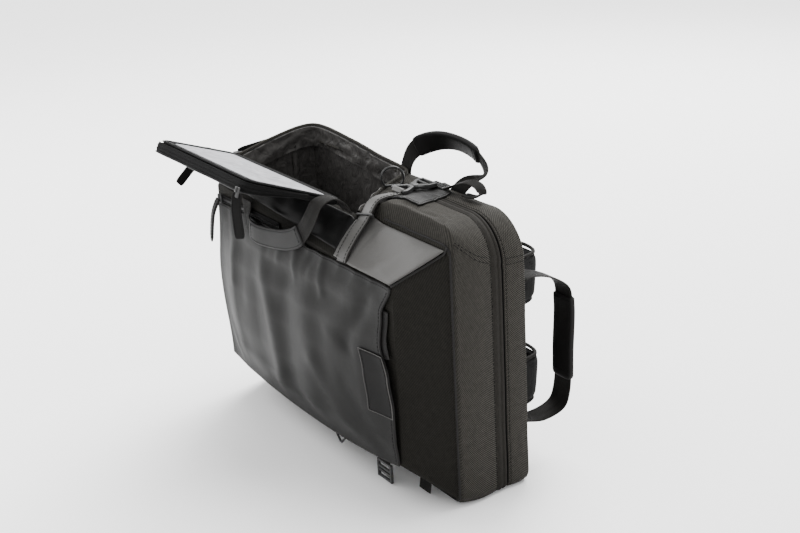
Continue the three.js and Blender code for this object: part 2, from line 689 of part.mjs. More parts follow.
function buildTail() {
  const x = STRAP_X + 0.75 * LOCK_WIDTH + 3 * CLEARANCE;
  const y = BUCKLE_Y + BUCKLE_LENGTH / 2 + LOCK_LENGTH / 4;
  const anchor = at(x, y, topAt(x, y) + CLOTH + WEB_THICKNESS);
  const path = route(anchor, at(TAIL_LENGTH, TAIL_RISE, TAIL_RISE), TAIL);
  add(bag, "strap_tail", "webbing", clearOfBody(band(path, LOCK_LENGTH / 2, WEB_THICKNESS, 22)));
}

function buildRing() {
  const y = BAND_DEPTH / 2;
  const x = mouthNear(y) + WALL + 2 * RIM_THICKNESS;
  const ring = new THREE.TorusGeometry(RING_RADIUS, RING_WIRE / 2, 6, 18);
  ring.rotateX(Math.PI / 2).rotateZ(Math.PI / 3);
  const z = topAt(x, y) + RING_RADIUS + RING_WIRE / 2 + 2 * CLEARANCE;
  add(bag, "d_ring", "metal", ring.translate(x, y, z));
}

// A webbing handle with a grip wrapped round its middle, from step first to step last.
function buildHandle(name, path, width, steps, first, last, cutter = bodyCutter) {
  const webbing = toSolid(band(path, width, WEB_THICKNESS, steps));
  add(bag, name, "webbing", toGeometry(webbing.subtract(cutter)));
  const sleeve = toSolid(band(path, width + 2 * SEAM, GRIP_THICKNESS, steps, { sides: 8, first, last }));
  const room = band(path, width + 2 * CLEARANCE, WEB_THICKNESS + 2 * CLEARANCE, steps, {
    first: first - 1,
    last: last + 1,
  });
  add(bag, name + "_grip", "leather", toGeometry(sleeve.subtract(toSolid(room))));
}

// Behind the hatch: up the back wall, over past the rim and down the back wall again.
const REAR_HANDLE = [
  { at: [0, 0, -0.5], across: [1, 0, 0] },
  { at: [0, 0.03, 0.1], across: [1, 0, 0] },
  { at: [0.06, 0.3, 0.62], across: [0.8, 0.1, -0.5] },
  { at: [0.24, 0.75, 0.95], across: [0.3, 0.4, -0.85] },
  { at: [0.5, 1, 1.06], across: [0, 0.5, -0.85] },
  { at: [0.8, 1, 0.88], across: [-0.3, 0.4, -0.85] },
  { at: [0.97, 0.72, 0.5], across: [-0.8, 0.2, -0.5] },
  { at: [0.8, 0.2, 0.1], across: [-1, 0, 0] },
  { at: [0.66, 0, -0.45], across: [-1, 0, 0] },
];

// In front of the hatch: from the mouth's corner up and over, then along the slope to the far strip.
// Its second share is of the taper's depth behind the front plane.
const FRONT_HANDLE = [
  { at: [1, 0.6, 0.72], across: [1, 0, 0] },
  { at: [1.01, 0.42, 0.9], across: [1, 0, 0] },
  { at: [1.02, 0.14, 1.02], across: [1, 0, 0] },
  { at: [1.01, -0.15, 0.96], across: [1, 0, -0.1] },
  { at: [0.95, -0.27, 0.68], across: [0.8, 0, -0.6] },
  { at: [0.82, -0.28, 0.36], across: [0.4, 0, -0.9] },
  { at: [0.66, -0.28, 0.18], across: [0, 0, -1] },
  { at: [0.42, -0.28, 0.05], across: [0, 0, -1] },
  { at: [0.18, -0.28, 0], across: [0, 0, -1] },
  { at: [0.05, -0.2, 0.08], across: [-0.5, 0, -0.9] },
  { at: [0, -0.09, 0.28], across: [-1, 0, -0.2] },
  { at: [0, -0.08, 0.42], across: [-1, 0, 0] },
];
// Its near end stands this far short of the mouth's near end, and its lowest run hangs this far
// below the front's upper edge.
const FRONT_HANDLE_INSET = 10;
const FRONT_HANDLE_DROP = 10;

// At the worn top: out from the back wall, along and back.
const TOP_HANDLE = [
  { at: [0, 0, 1], across: [1, 0, 0] },
  { at: [0, 0.12, 1.03], across: [1, 0, 0] },
  { at: [0, 0.5, 1], across: [1, 0, 0] },
  { at: [0, 0.94, 0.88], across: [1, 0, 0] },
  { at: [0, 1, 0.74], across: [1, 0, 0] },
  { at: [0, 0.97, 0.42], across: [1, 0, 0] },
  { at: [0, 0.93, 0.1], across: [1, 0, 0] },
  { at: [0, 0.82, 0], across: [1, 0, 0] },
  { at: [0, 0.4, -0.04], across: [1, 0, 0] },
  { at: [0, 0, 0], across: [1, 0, 0] },
];
// How far below the middle of the worn top it sits, and how far in from its edge.
const TOP_HANDLE_BELOW = 5.5;
const TOP_HANDLE_INSET = 22;

function buildHandles() {
  const behind = BAND_DEPTH + CLEARANCE + WEB_THICKNESS / 2;
  const rearX = MOUTH_NEAR_END - MOUTH_SLANT - WEB_WIDTH / 2;
  const rear = route(
    at(rearX, behind, BAG_WIDTH),
    at(REAR_HANDLE_SPAN, REAR_HANDLE_LEAN, REAR_HANDLE_RISE),
    REAR_HANDLE,
  );
  buildHandle("rear_handle", rear, WEB_WIDTH, 30, 8, 19);
  const frontX = MOUTH_NEAR_END - FRONT_HANDLE_INSET - FRONT_HANDLE_SPAN;
  const front = route(
    at(frontX, FRONT_Y, FRONT_TOP - FRONT_HANDLE_DROP),
    at(FRONT_HANDLE_SPAN, TAPER_DEPTH, FRONT_HANDLE_RISE),
    FRONT_HANDLE,
  );
  buildHandle("front_handle", front, WEB_WIDTH, 38, 17, 29);
  const top = route(
    at(HALF - TOP_HANDLE_INSET, behind, (BAG_WIDTH - TOP_HANDLE_SPAN) / 2 - TOP_HANDLE_BELOW),
    at(0, TOP_HANDLE_REACH, TOP_HANDLE_SPAN),
    TOP_HANDLE,
  );
  buildHandle("top_handle", top, TOP_HANDLE_WIDTH, 30, 12, 19);
}

// A zip pull: a slider and a wrapped leather tab that ends in a rounded bar.
function buildPull(parent, name, slider, path) {
  const body = box(
    slider.x - TAB_WIDTH / 3,
    slider.x + TAB_WIDTH / 3,
    slider.y - TAB_THICKNESS / 2,
    slider.y + TAB_THICKNESS / 2,
    slider.z - TAB_WIDTH / 2,
    slider.z + TAB_WIDTH / 2,
  );
  const tab = band(path, TAB_WIDTH, TAB_THICKNESS, 6, { sides: 8 });
  add(parent, name, "leather", toGeometry(toSolid(body).add(toSolid(tab))));
}

function buildPulls() {
  const row = (x, y, z, across) => ({ point: at(x, y, z), across: at(...across) });
  const out = CLEARANCE + TAB_THICKNESS;
  // Lying outside the far end of the mouth.
  const farX = MOUTH_FAR - WALL / 2 - RIM_THICKNESS / 2 - CLEARANCE - TAB_WIDTH / 3;
  const rimZ = topAt(-HALF, 0) + 0.3 * RIM_HEIGHT;
  const lying = [
    row(farX, -MOUTH_FRONT, rimZ, [0, 0.1, 1]),
    row(farX, 0.1 * BAND_DEPTH, rimZ + 0.1 * RIM_HEIGHT, [0, 0.1, 1]),
    row(farX, 0.4 * BAND_DEPTH, rimZ + 0.2 * RIM_HEIGHT, [0, 0.1, 1]),
  ];
  buildPull(bag, "pull_mouth", lying[0].point, lying);
  // The front pocket's slider with its tab hanging at the far corner.
  const pocketY = FRONT_Y - 2 * CLEARANCE - CLOTH - TAB_THICKNESS / 2;
  const slider = at(-HALF + FAR_TAPER + HEM_RADIUS, pocketY, FRONT_TOP + SEAM + ZIP_WIDTH / 2);
  const hanging = [
    row(slider.x, pocketY - TAB_THICKNESS, slider.z, [1, 0, 0]),
    row(slider.x - 0.5 * TAB_WIDTH, pocketY - 3 * TAB_THICKNESS, slider.z - 1.6 * TAB_WIDTH, [1, -0.2, 0]),
    row(slider.x - 1.2 * TAB_WIDTH, pocketY - 4 * TAB_THICKNESS, slider.z - 5 * TAB_WIDTH, [1, -0.3, 0]),
  ];
  buildPull(bag, "pull_pocket", slider, hanging);
  // The flap's two sliders, one on its far edge and one at its near free corner.
  const edge = -HALF + FAR_TAPER - CLEARANCE - TAB_WIDTH / 3;
  const farPull = [
    row(edge, -0.36 * FLAP_WIDTH, 0, [0, 0.6, 0.8]),
    row(edge, -0.5 * FLAP_WIDTH, -1.8 * TAB_WIDTH, [0, 0.6, 0.5]),
    row(edge, -0.62 * FLAP_WIDTH, -4 * TAB_WIDTH, [0, 0.8, 0.4]),
  ];
  buildPull(flap, "pull_flap_far", farPull[0].point, farPull);
  const nearX = -HALF + FAR_TAPER + FLAP_LENGTH - 2.4 * FLAP_CORNER;
  const nearY = -FLAP_WIDTH - 2 * CLOTH - out;
  const nearPull = [
    row(nearX, nearY, 0, [1, 0, 0]),
    row(nearX, nearY + TAB_WIDTH / 3, -2 * TAB_WIDTH, [1, 0, 0]),
    row(nearX - TAB_WIDTH / 2, nearY + 1.6 * TAB_WIDTH, -5 * TAB_WIDTH, [1, 0, 0]),
  ];
  buildPull(flap, "pull_flap_near", nearPull[0].point, nearPull);
}

// The folded leather loop behind the pocket's free edge.
function buildPullLoop() {
  const rows = [0.62, 0.73, 0.84].map((share) => {
    const edge = pocketPoint(1, share);
    const seat = CLOTH + CLEARANCE + LINING / 2;
    return { point: edge.add(at(TAB_WIDTH / 5, seat, 0)), across: at(1, 0, 0) };
  });
  const panel = toSolid(sheet(pocketPoint, at(0, CLOTH, 0), ...POCKET_STEPS));
  const loop = toSolid(band(rows, TAB_WIDTH, LINING, 6)).subtract(bodyCutter);
  add(bag, "pull_loop", "leather", toGeometry(loop.subtract(panel.translate([0, CLEARANCE, 0]))));
}

// Two pads on the back wall and two shoulder straps that stand out from it, folded along it.
function buildWearersSide() {
  const seat = BAND_DEPTH + CLEARANCE;
  const pad = (name, x0, x1) => {
    const low = PAD_MARGIN;
    const high = BAG_WIDTH - PAD_MARGIN;
    const shape = roundedShape([[x0, low], [x1, low], [x1, high], [x0, high]], PAD_MARGIN);
    const sections = [0, 0.6, 1].map((share) => {
      const [cx, cz] = [(x0 + x1) / 2, (low + high) / 2];
      const size = share === 1 ? 0.93 : 1;
      return shape.getPoints(4).slice(0, -1).map(
        (p) => at(mix(cx, p.x, size), seat + share * PAD_THICKNESS, mix(cz, p.y, size)),
      );
    });
    add(bag, name, "mesh", loft(sections));
  };
  const nearEnd = HALF - PAD_MARGIN - TOP_HANDLE_WIDTH;
  const middle = -0.1 * BAG_LENGTH;
  pad("back_pad_top", middle + SEAM, nearEnd);
  pad("back_pad_foot", -HALF + PAD_MARGIN, middle - SEAM);
}

const SHOULDER_STRAP = [
  { at: [0, 0, 0], across: [0, 0, 1] },
  { at: [-0.005, 0.4, 0], across: [0, 0, 1] },
  { at: [0.02, 0.85, 0], across: [0, 0.1, 1] },
  { at: [0.1, 1, 0], across: [0, 0.1, 1] },
  { at: [0.3, 0.75, 0], across: [0, 0.05, 1] },
  { at: [0.6, 0.35, 0], across: [0, 0, 1] },
  { at: [1, 0.3, 0], across: [0, 0, 1] },
];
const STRAP_WEBBING = [
  { at: [0, 1, 0], across: [0, 0, 1] },
  { at: [0.35, 0.85, 0], across: [0, 0, 1] },
  { at: [0.69, 0.68, 0], across: [0, 0, 1] },
  { at: [0.81, 0.25, 0], across: [0, 0, 1] },
  { at: [0.88, 0.04, 0], across: [0, 0, 1] },
  { at: [0.97, 0, 0], across: [0, 0, 1] },
];

function buildShoulderStraps() {
  const half = SHOULDER_STRAP_THICKNESS / 2;
  const anchorY = BAND_DEPTH + CLEARANCE + half;
  const nearX = HALF - TOP_HANDLE_INSET - TOP_HANDLE_WIDTH / 2 - half - 3 * SEAM;
  for (const [side, way] of [["lower", -1], ["upper", 1]]) {
    const z = BAG_WIDTH / 2 + (way * SHOULDER_STRAP_GAP) / 2;
    const size = at(-SHOULDER_STRAP_LENGTH, SHOULDER_STRAP_REACH, 1);
    const path = route(at(nearX, anchorY, z), size, SHOULDER_STRAP);
    const strap = band(path, SHOULDER_STRAP_WIDTH, SHOULDER_STRAP_THICKNESS, 24, { sides: 10 });
    const pads = toSolid(
      box(-HALF, nearX - half, 0, BAND_DEPTH + PAD_THICKNESS + 2 * CLEARANCE, 0, BAG_WIDTH),
    );
    const clear = toSolid(strap).subtract(pads).subtract(bodyCutter);
    add(bag, "shoulder_strap_" + side, "mesh", toGeometry(clear));
    // The webbing under the strap's foot runs back to the bag's worn bottom.
    const end = path[path.length - 1].point;
    const start = at(end.x - CLEARANCE, BAND_DEPTH + CLEARANCE + WEB_THICKNESS / 2, z);
    const run = at(-(start.x + HALF), end.y - start.y, 1);
    const tail = toSolid(band(route(start, run, STRAP_WEBBING), WEB_WIDTH, WEB_THICKNESS, 10));
    add(bag, "shoulder_webbing_" + side, "webbing", toGeometry(tail.subtract(bodyCutter)));
  }
}

// Hardware that hangs under the lower slope: a ring and a ladder lock on webbing, and a webbing end.
const LASH_X = 0.04 * BAG_LENGTH;
const LOCK_X = 0.26 * BAG_LENGTH;
const FOOT_TAIL_X = 0.39 * BAG_LENGTH;
const LASH_DROP = 16;
const LASH_Y = -0.62 * TAPER_DEPTH;

function bottomAt(y) {
  return bodyRow(y).low;
}

function buildUnderside() {
  const hang = (name, x, y, drop, width) => {
    const z = bottomAt(y) - CLEARANCE;
    const path = [0, 0.5, 1].map((share) => ({
      point: at(x, y + (1 - share) * 2 * WEB_THICKNESS, z + (0.25 - share) * drop),
      across: at(1, 0, 0),
    }));
    const web = toSolid(band(path, width, WEB_THICKNESS, 4)).subtract(bodyCutter);
    add(bag, name, "webbing", toGeometry(web));
    return z - 0.75 * drop;
  };
  const ringTop = hang("lash_web", LASH_X, LASH_Y, LASH_DROP, WEB_WIDTH) - CLEARANCE;
  const half = 0.8 * WEB_WIDTH;
  const corners = (inset) => [
    [0, -0.9 * WEB_WIDTH + 1.3 * inset],
    [half - 1.6 * inset, -inset],
    [-half + 1.6 * inset, -inset],
  ];
  const triangle = roundedShape(corners(0), RING_WIRE);
  triangle.holes.push(new THREE.Path(corners(RING_WIRE).map(([x, y]) => new THREE.Vector2(x, y))));
  const options = { depth: RING_WIRE, bevelEnabled: false, curveSegments: 2 };
  const ring = new THREE.ExtrudeGeometry(triangle, options);
  ring.rotateX(Math.PI / 2).translate(LASH_X, LASH_Y + RING_WIRE / 2, ringTop);
  add(bag, "lash_ring", "metal", ring);
  const lockTop = hang("lock_web", LOCK_X, LASH_Y, LASH_DROP, WEB_WIDTH) - CLEARANCE;
  const lock = slottedPlate(LOCK_WIDTH, LOCK_LENGTH, LOCK_THICKNESS, [
    { across: 0.76, from: 0.16, to: 0.31 },
    { across: 0.76, from: 0.66, to: 0.81 },
  ]);
  lock.rotateX(Math.PI / 2).translate(LOCK_X, LASH_Y, lockTop - LOCK_LENGTH / 2);
  add(bag, "ladder_lock", "plastic", lock);
  hang("foot_tail", FOOT_TAIL_X, LASH_Y / 2, 1.3 * LASH_DROP, WEB_WIDTH);
}

buildShell();
buildPiping();
buildMouth();
buildFlap();
buildPocket();
buildSlopePanels();
buildStrap();
buildBuckle();
buildTail();
buildRing();
buildHandles();
buildPulls();
buildPullLoop();
buildWearersSide();
buildShoulderStraps();
buildUnderside();

export default bag;
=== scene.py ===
"""A camera backpack that lies on its long side, with the hatch to its camera compartment open."""

import math
from collections import namedtuple

import bmesh
import bpy
from bpy.props import FloatProperty, FloatVectorProperty, IntProperty, PointerProperty
from mathutils import Matrix, Vector, noise


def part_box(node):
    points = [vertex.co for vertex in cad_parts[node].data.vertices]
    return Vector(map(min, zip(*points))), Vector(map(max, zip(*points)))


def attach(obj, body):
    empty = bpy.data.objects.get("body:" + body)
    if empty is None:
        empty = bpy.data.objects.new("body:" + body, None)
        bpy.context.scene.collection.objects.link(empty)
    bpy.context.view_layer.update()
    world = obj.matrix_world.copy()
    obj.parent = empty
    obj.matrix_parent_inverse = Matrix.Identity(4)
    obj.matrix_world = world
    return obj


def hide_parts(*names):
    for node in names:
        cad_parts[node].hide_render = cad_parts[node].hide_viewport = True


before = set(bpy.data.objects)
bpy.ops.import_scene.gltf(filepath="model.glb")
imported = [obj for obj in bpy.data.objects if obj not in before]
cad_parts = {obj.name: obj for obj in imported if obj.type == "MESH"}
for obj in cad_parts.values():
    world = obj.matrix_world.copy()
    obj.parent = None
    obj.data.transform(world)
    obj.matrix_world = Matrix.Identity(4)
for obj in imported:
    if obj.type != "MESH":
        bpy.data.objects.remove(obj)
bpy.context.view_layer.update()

bl_info = {
    "name": "Camera backpack",
    "version": (1, 0, 0),
    "blender": (4, 5, 0),
    "location": "View3D > Sidebar > Backpack",
    "description": "Builds a camera backpack lying on its side with its hatch open",
    "category": "Object",
}

# Sizes in metres. The y of every piece is measured from the band's front edge until it is placed.
BACK_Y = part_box("shell_back")[1].y
BAND = 2 * BACK_Y
TAPER = -BACK_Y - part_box("shell_front")[0].y
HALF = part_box("shell_back")[1].x
LENGTH = 2 * HALF
WIDTH = 0.331
NEAR_TAPER = 0.040
FAR_TAPER = 0.006
LOW_TAPER = 0.055
HIGH_TAPER = 0.056
SHOULDER = 0.051
HEM = 0.012
FRONT_TOP = WIDTH - HIGH_TAPER
MOUTH_FRONT = 0.014
MOUTH_NEAR_END = 0.062
MOUTH_SLANT = 0.056
MOUTH_FAR = -HALF + 0.007
MOUTH_BACK = BAND - 0.006
SADDLE = 0.040
RIM_HEIGHT = 0.022
ZIP_FRONT = 0.052
ZIP_BACK = 0.069
SLIT = 0.0673
SLIT_WIDTH = 0.0009
CLOTH = 0.002
GAP = 0.0003
STRAP_WIDTH = 0.024
WEB_WIDTH = 0.022
WEB = 0.0018
TAB_WIDTH = 0.012
TAB = 0.003

REST = 0.0002
EASE = 0.007
UNDER_PIPING = -0.0021
BAND_START = 0.003
CREASES = (-TAPER, UNDER_PIPING, BAND_START, ZIP_FRONT, ZIP_BACK, BAND)
FRONT_SEAM = 0.0505
BACK_SEAM = 0.0715
SHELL_WALL = 0.003
PIPING = 0.0013


def size_property(name, description, default):
    return FloatProperty(name=name, description=description, default=default, unit="LENGTH")


def colour_property(name, description, default):
    return FloatVectorProperty(name=name, description=description, default=default, subtype="COLOR", size=3)


class BackpackSizes(bpy.types.PropertyGroup):
    """Sizes that a maker of the bag would change."""

    twill: size_property("Twill pitch", "Distance from one rib of the band's twill to the next", 0.0024)
    fine_twill: size_property("Fine twill pitch", "Distance from rib to rib of the slopes' cloth", 0.0020)
    rib: size_property("Webbing rib", "Distance from rib to rib along webbing", 0.0017)
    stitch: size_property("Stitch", "Length of one stitch", 0.0030)
    stitch_gap: size_property("Stitch gap", "Gap from one stitch to the next", 0.0014)
    thread: size_property("Thread", "Radius of the sewing thread", 0.00036)
    puff: size_property("Band puff", "How far the padded band swells between its seams", 0.0022)
    pocket_bulge: size_property("Pocket bulge", "How far the front pocket stands out", 0.018)
    flap_lift: FloatProperty(
        name="Flap lift", description="Angle of the open hatch", default=math.radians(21), subtype="ANGLE"
    )
    steps: IntProperty(name="Ribbon steps", description="Quads along a handle", default=90, min=20, max=200)


class BackpackColours(bpy.types.PropertyGroup):
    """Base colours of the bag's finishes."""

    twill: colour_property("Twill", "Band cloth", (0.0240, 0.0226, 0.0200))
    fine_twill: colour_property("Fine twill", "Slope cloth", (0.0095, 0.0090, 0.0078))
    welt: colour_property("Welt", "Welts over the main zip", (0.015, 0.014, 0.0125))
    coated: colour_property("Coated cloth", "Pocket's satin coating", (0.0092, 0.0090, 0.0087))
    # Painted highlight: a lighter copy of the coated cloth for the lit slope panel, the strap's face and end,
    # and the tab's cut edge.
    top_coated: colour_property("Upper coated cloth", "Slope panel and strap", (0.056, 0.0545, 0.052))
    # Painted shade: a darker copy of the coated cloth for the shaded hinge cloth, the hatch panel and the
    # rain lip's coated edge.
    dark_coated: colour_property("Dark coated cloth", "Hatch and hinge", (0.006, 0.006, 0.006))
    lining: colour_property("Lining", "Dark crinkled lining", (0.046, 0.044, 0.042))
    pale_lining: colour_property("Pale lining", "Hatch lining", (0.26, 0.26, 0.275))
    leather: colour_property("Leather", "Grips, tabs and pulls", (0.0056, 0.0054, 0.0053))
    webbing: colour_property("Webbing", "Handles and straps", (0.0105, 0.0100, 0.0094))
    zip_tape: colour_property("Zip", "Zip tape and coil", (0.0050, 0.0050, 0.0050))
    thread: colour_property("Thread", "Sewing thread", (0.0030, 0.0030, 0.0030))
    plastic: colour_property("Plastic", "Moulded buckle", (0.026, 0.026, 0.026))
    metal: colour_property("Metal", "Painted hardware", (0.012, 0.012, 0.012))
    mesh: colour_property("Spacer mesh", "Pads and shoulder straps", (0.0085, 0.0085, 0.0085))
    floor: colour_property("Floor", "Plain studio floor", (0.93, 0.93, 0.93))


def sizes():
    return bpy.context.scene.backpack_sizes


def mix(a, b, t):
    return a + (b - a) * t


def clamp(value, low=0.0, high=1.0):
    return min(max(value, low), high)


def hill(distance, width):
    """A smooth bump of height 1 at distance 0 that fades over width."""
    return math.exp(-((distance / width) ** 2))


def along(values, t):
    """The value at t, from 0 to 1, on a smooth line through evenly spaced values."""
    x = clamp(t) * (len(values) - 1)
    i = min(int(x), len(values) - 2)
    f = x - i
    return mix(values[i], values[i + 1], f * f * (3 - 2 * f))


def placed(x, y, z):
    return Vector((x, y - BACK_Y, z))


def crinkle(point, size, seed=0.0):
    """Smooth noise from about -1 to 1 that changes over size."""
    return noise.noise(Vector((point[0] / size + seed, point[1] / size, point[2] / size)))


# Shader nodes


def add_node(tree, kind, inputs=None, **settings):
    """A new node with its settings, and its inputs set or linked."""
    made = tree.nodes.new(kind)
    for key, value in settings.items():
        setattr(made, key, value)
    for key, value in (inputs or {}).items():
        plug(tree, made.inputs[key], value)
    return made


def plug(tree, socket, value):
    if isinstance(value, bpy.types.NodeSocket):
        tree.links.new(value, socket)
    else:
        socket.default_value = value


def calculate(tree, operation, *values):
    made = tree.nodes.new("ShaderNodeMath")
    made.operation = operation
    for socket, value in zip(made.inputs, values):
        plug(tree, socket, value)
    return made.outputs[0]


def blend_colours(tree, share, first, second):
    made = tree.nodes.new("ShaderNodeMix")
    made.data_type = "RGBA"
    plug(tree, made.inputs[0], share)
    plug(tree, made.inputs[6], first)
    plug(tree, made.inputs[7], second)
    return made.outputs[2]


def new_group(name, inputs, outputs):
    """An empty node group with its sockets, its input node and its output node."""
    tree = bpy.data.node_groups.new(name, "ShaderNodeTree")
    for label, kind, default in inputs:
        socket = tree.interface.new_socket(name=label, in_out="INPUT", socket_type=kind)
        if default is not None:
            socket.default_value = default
    for label, kind in outputs:
        tree.interface.new_socket(name=label, in_out="OUTPUT", socket_type=kind)
    return tree, tree.nodes.new("NodeGroupInput"), tree.nodes.new("NodeGroupOutput")


def place_group(tree, name, build, **inputs):
    """One use of a node group, with its inputs set or linked by name."""
    made = tree.nodes.new("ShaderNodeGroup")
    made.node_tree = bpy.data.node_groups.get(name) or build(name)
    for label, value in inputs.items():
        plug(tree, made.inputs[label.replace("_", " ")], value)
    return made


def build_twill(name):
    """Slanting dashes in rows, as a twill shows them."""
    tree, start, end = new_group(
        name,
        [("Place", "NodeSocketVector", None), ("Pitch", "NodeSocketFloat", 0.002)],
        [("Height", "NodeSocketFloat"), ("Shade", "NodeSocketFloat")],
    )
    split = add_node(tree, "ShaderNodeSeparateXYZ", {0: start.outputs["Place"]})
    turns = calculate(tree, "DIVIDE", 2 * math.pi, start.outputs["Pitch"])
    x = calculate(tree, "MULTIPLY", split.outputs[0], turns)
    y = calculate(tree, "MULTIPLY", split.outputs[1], turns)
    ribs = calculate(tree, "SINE", calculate(tree, "ADD", x, calculate(tree, "MULTIPLY", y, 0.9)))
    dashes = calculate(tree, "SINE", calculate(tree, "SUBTRACT", y, calculate(tree, "MULTIPLY", x, 0.5)))
    both = calculate(tree, "MULTIPLY_ADD", dashes, 0.5, ribs)
    height = calculate(tree, "MULTIPLY_ADD", both, 0.5, 0.4)
    height = calculate(tree, "MINIMUM", calculate(tree, "MAXIMUM", height, 0.0), 1.0)
    tree.links.new(height, end.inputs["Height"])
    uneven = add_node(
        tree, "ShaderNodeTexNoise", {"Vector": start.outputs["Place"], "Scale": 160.0, "Detail": 3.0}
    )
    shade = calculate(tree, "MULTIPLY", height, calculate(tree, "MULTIPLY_ADD", uneven.outputs[0], 0.8, 0.55))
    tree.links.new(shade, end.inputs["Shade"])
    return tree


def build_ribs(name):
    """Herringbone ribs across webbing, whose X runs across it and Y along it."""
    tree, start, end = new_group(
        name,
        [
            ("Place", "NodeSocketVector", None),
            ("Pitch", "NodeSocketFloat", 0.0017),
            ("Column", "NodeSocketFloat", 0.0055),
        ],
        [("Height", "NodeSocketFloat")],
    )
    split = add_node(tree, "ShaderNodeSeparateXYZ", {0: start.outputs["Place"]})
    column = calculate(tree, "PINGPONG", split.outputs[0], start.outputs["Column"])
    slanted = calculate(tree, "MULTIPLY_ADD", column, 0.6, split.outputs[1])
    phase = calculate(tree, "DIVIDE", slanted, start.outputs["Pitch"])
    wave = calculate(tree, "SINE", calculate(tree, "MULTIPLY", phase, 2 * math.pi))
    across = calculate(tree, "DIVIDE", split.outputs[0], start.outputs["Pitch"])
    yarn = calculate(tree, "SINE", calculate(tree, "MULTIPLY", across, 4 * math.pi))
    both = calculate(tree, "MULTIPLY_ADD", yarn, 0.3, wave)
    tree.links.new(calculate(tree, "MULTIPLY_ADD", both, 0.38, 0.5), end.inputs["Height"])
    return tree


def build_grain(name):
    """Fine pores and creases of a coated or leather surface."""
    tree, start, end = new_group(
        name,
        [("Place", "NodeSocketVector", None), ("Size", "NodeSocketFloat", 0.001)],
        [("Height", "NodeSocketFloat"), ("Mottle", "NodeSocketFloat")],
    )
    scale = calculate(tree, "DIVIDE", 1.0, start.outputs["Size"])
    cells = add_node(
        tree,
        "ShaderNodeTexVoronoi",
        {"Vector": start.outputs["Place"], "Scale": scale},
        feature="DISTANCE_TO_EDGE",
    )
    fine = add_node(
        tree, "ShaderNodeTexNoise", {"Vector": start.outputs["Place"], "Scale": scale, "Detail": 4.0}
    )
    pores = calculate(tree, "MINIMUM", calculate(tree, "MULTIPLY", cells.outputs[0], 4.0), 1.0)
    height = calculate(tree, "MULTIPLY_ADD", fine.outputs[0], 0.5, calculate(tree, "MULTIPLY", pores, 0.5))
    tree.links.new(height, end.inputs["Height"])
    wide = add_node(
        tree, "ShaderNodeTexNoise", {"Vector": start.outputs["Place"], "Scale": 14.0, "Detail": 5.0}
    )
    tree.links.new(wide.outputs[0], end.inputs["Mottle"])
    return tree


def build_wear(name):
    """Colour that is paler on worn edges, with faint dust."""
    tree, start, end = new_group(
        name,
        [
            ("Place", "NodeSocketVector", None),
            ("Colour", "NodeSocketColor", None),
            ("Worn", "NodeSocketColor", None),
            ("Edge", "NodeSocketFloat", 0.3),
            ("Dust", "NodeSocketFloat", 0.1),
        ],
        [("Colour", "NodeSocketColor")],
    )
    shape = add_node(tree, "ShaderNodeNewGeometry")
    rise = calculate(tree, "SUBTRACT", shape.outputs["Pointiness"], 0.51)
    edge = calculate(tree, "MULTIPLY", rise, 14.0)
    edge = calculate(tree, "MULTIPLY", calculate(tree, "MAXIMUM", edge, 0.0), start.outputs["Edge"])
    edge = calculate(tree, "MINIMUM", edge, 1.0)
    specks = add_node(
        tree, "ShaderNodeTexNoise", {"Vector": start.outputs["Place"], "Scale": 420.0, "Detail": 2.0}
    )
    dust = calculate(tree, "SUBTRACT", specks.outputs[0], 0.62)
    dust = calculate(tree, "MULTIPLY", calculate(tree, "MAXIMUM", dust, 0.0), start.outputs["Dust"])
    share = calculate(tree, "ADD", edge, calculate(tree, "MULTIPLY", dust, 6.0))
    share = calculate(tree, "MINIMUM", share, 1.0)
    colour = blend_colours(tree, share, start.outputs["Colour"], start.outputs["Worn"])
    tree.links.new(colour, end.inputs["Colour"])
    return tree


def new_material(name):
    """A material with a Principled shader, its object coordinates and its UV map."""
    made = bpy.data.materials.new(name)
    made.use_nodes = True
    tree = made.node_tree
    shader = tree.nodes["Principled BSDF"]
    place = add_node(tree, "ShaderNodeTexCoord")
    return made, tree, shader, place.outputs["Object"], place.outputs["UV"]


def shaded(colour, factor):
    return (*[channel * factor for channel in colour], 1.0)


def add_bump(tree, shader, height, distance, strength=1.0, under=None):
    """A Bump node on the shader's normal, over another bump when one is given."""
    bump = add_node(tree, "ShaderNodeBump", {"Height": height, "Distance": distance, "Strength": strength})
    if under is not None:
        tree.links.new(under.outputs[0], bump.inputs["Normal"])
    tree.links.new(bump.outputs[0], shader.inputs["Normal"])
    return bump


def add_wear(tree, shader, place, colour, worn, edge=0.3, dust=0.1):
    made = place_group(
        tree, "edge_wear", build_wear, Place=place, Colour=colour, Worn=worn, Edge=edge, Dust=dust
    )
    tree.links.new(made.outputs[0], shader.inputs["Base Color"])


def twill_cloth(name, colour, pitch, depth, contrast):
    made, tree, shader, place, uv = new_material(name)
    weave = place_group(tree, "twill", build_twill, Place=uv, Pitch=pitch)
    # The weave's Shade picks the colour: painted shade between the ribs and painted highlight on them,
    # unevened by noise.
    dark, light = shaded(colour, 1 - contrast), shaded(colour, 1 + 2.4 * contrast)
    cloth = blend_colours(tree, weave.outputs["Shade"], dark, light)
    wide = add_node(tree, "ShaderNodeTexNoise", {"Vector": place, "Scale": 9.0, "Detail": 3.0})
    share = calculate(tree, "MULTIPLY", wide.outputs[0], 0.25)
    cloth = blend_colours(tree, share, cloth, shaded(colour, 1.1))
    add_wear(tree, shader, place, cloth, shaded(colour, 2.2), 0.25, 0.12)
    shader.inputs["Roughness"].default_value = 0.7
    shader.inputs["IOR"].default_value = 1.12
    add_bump(tree, shader, weave.outputs["Height"], depth, 1.0)
    return made


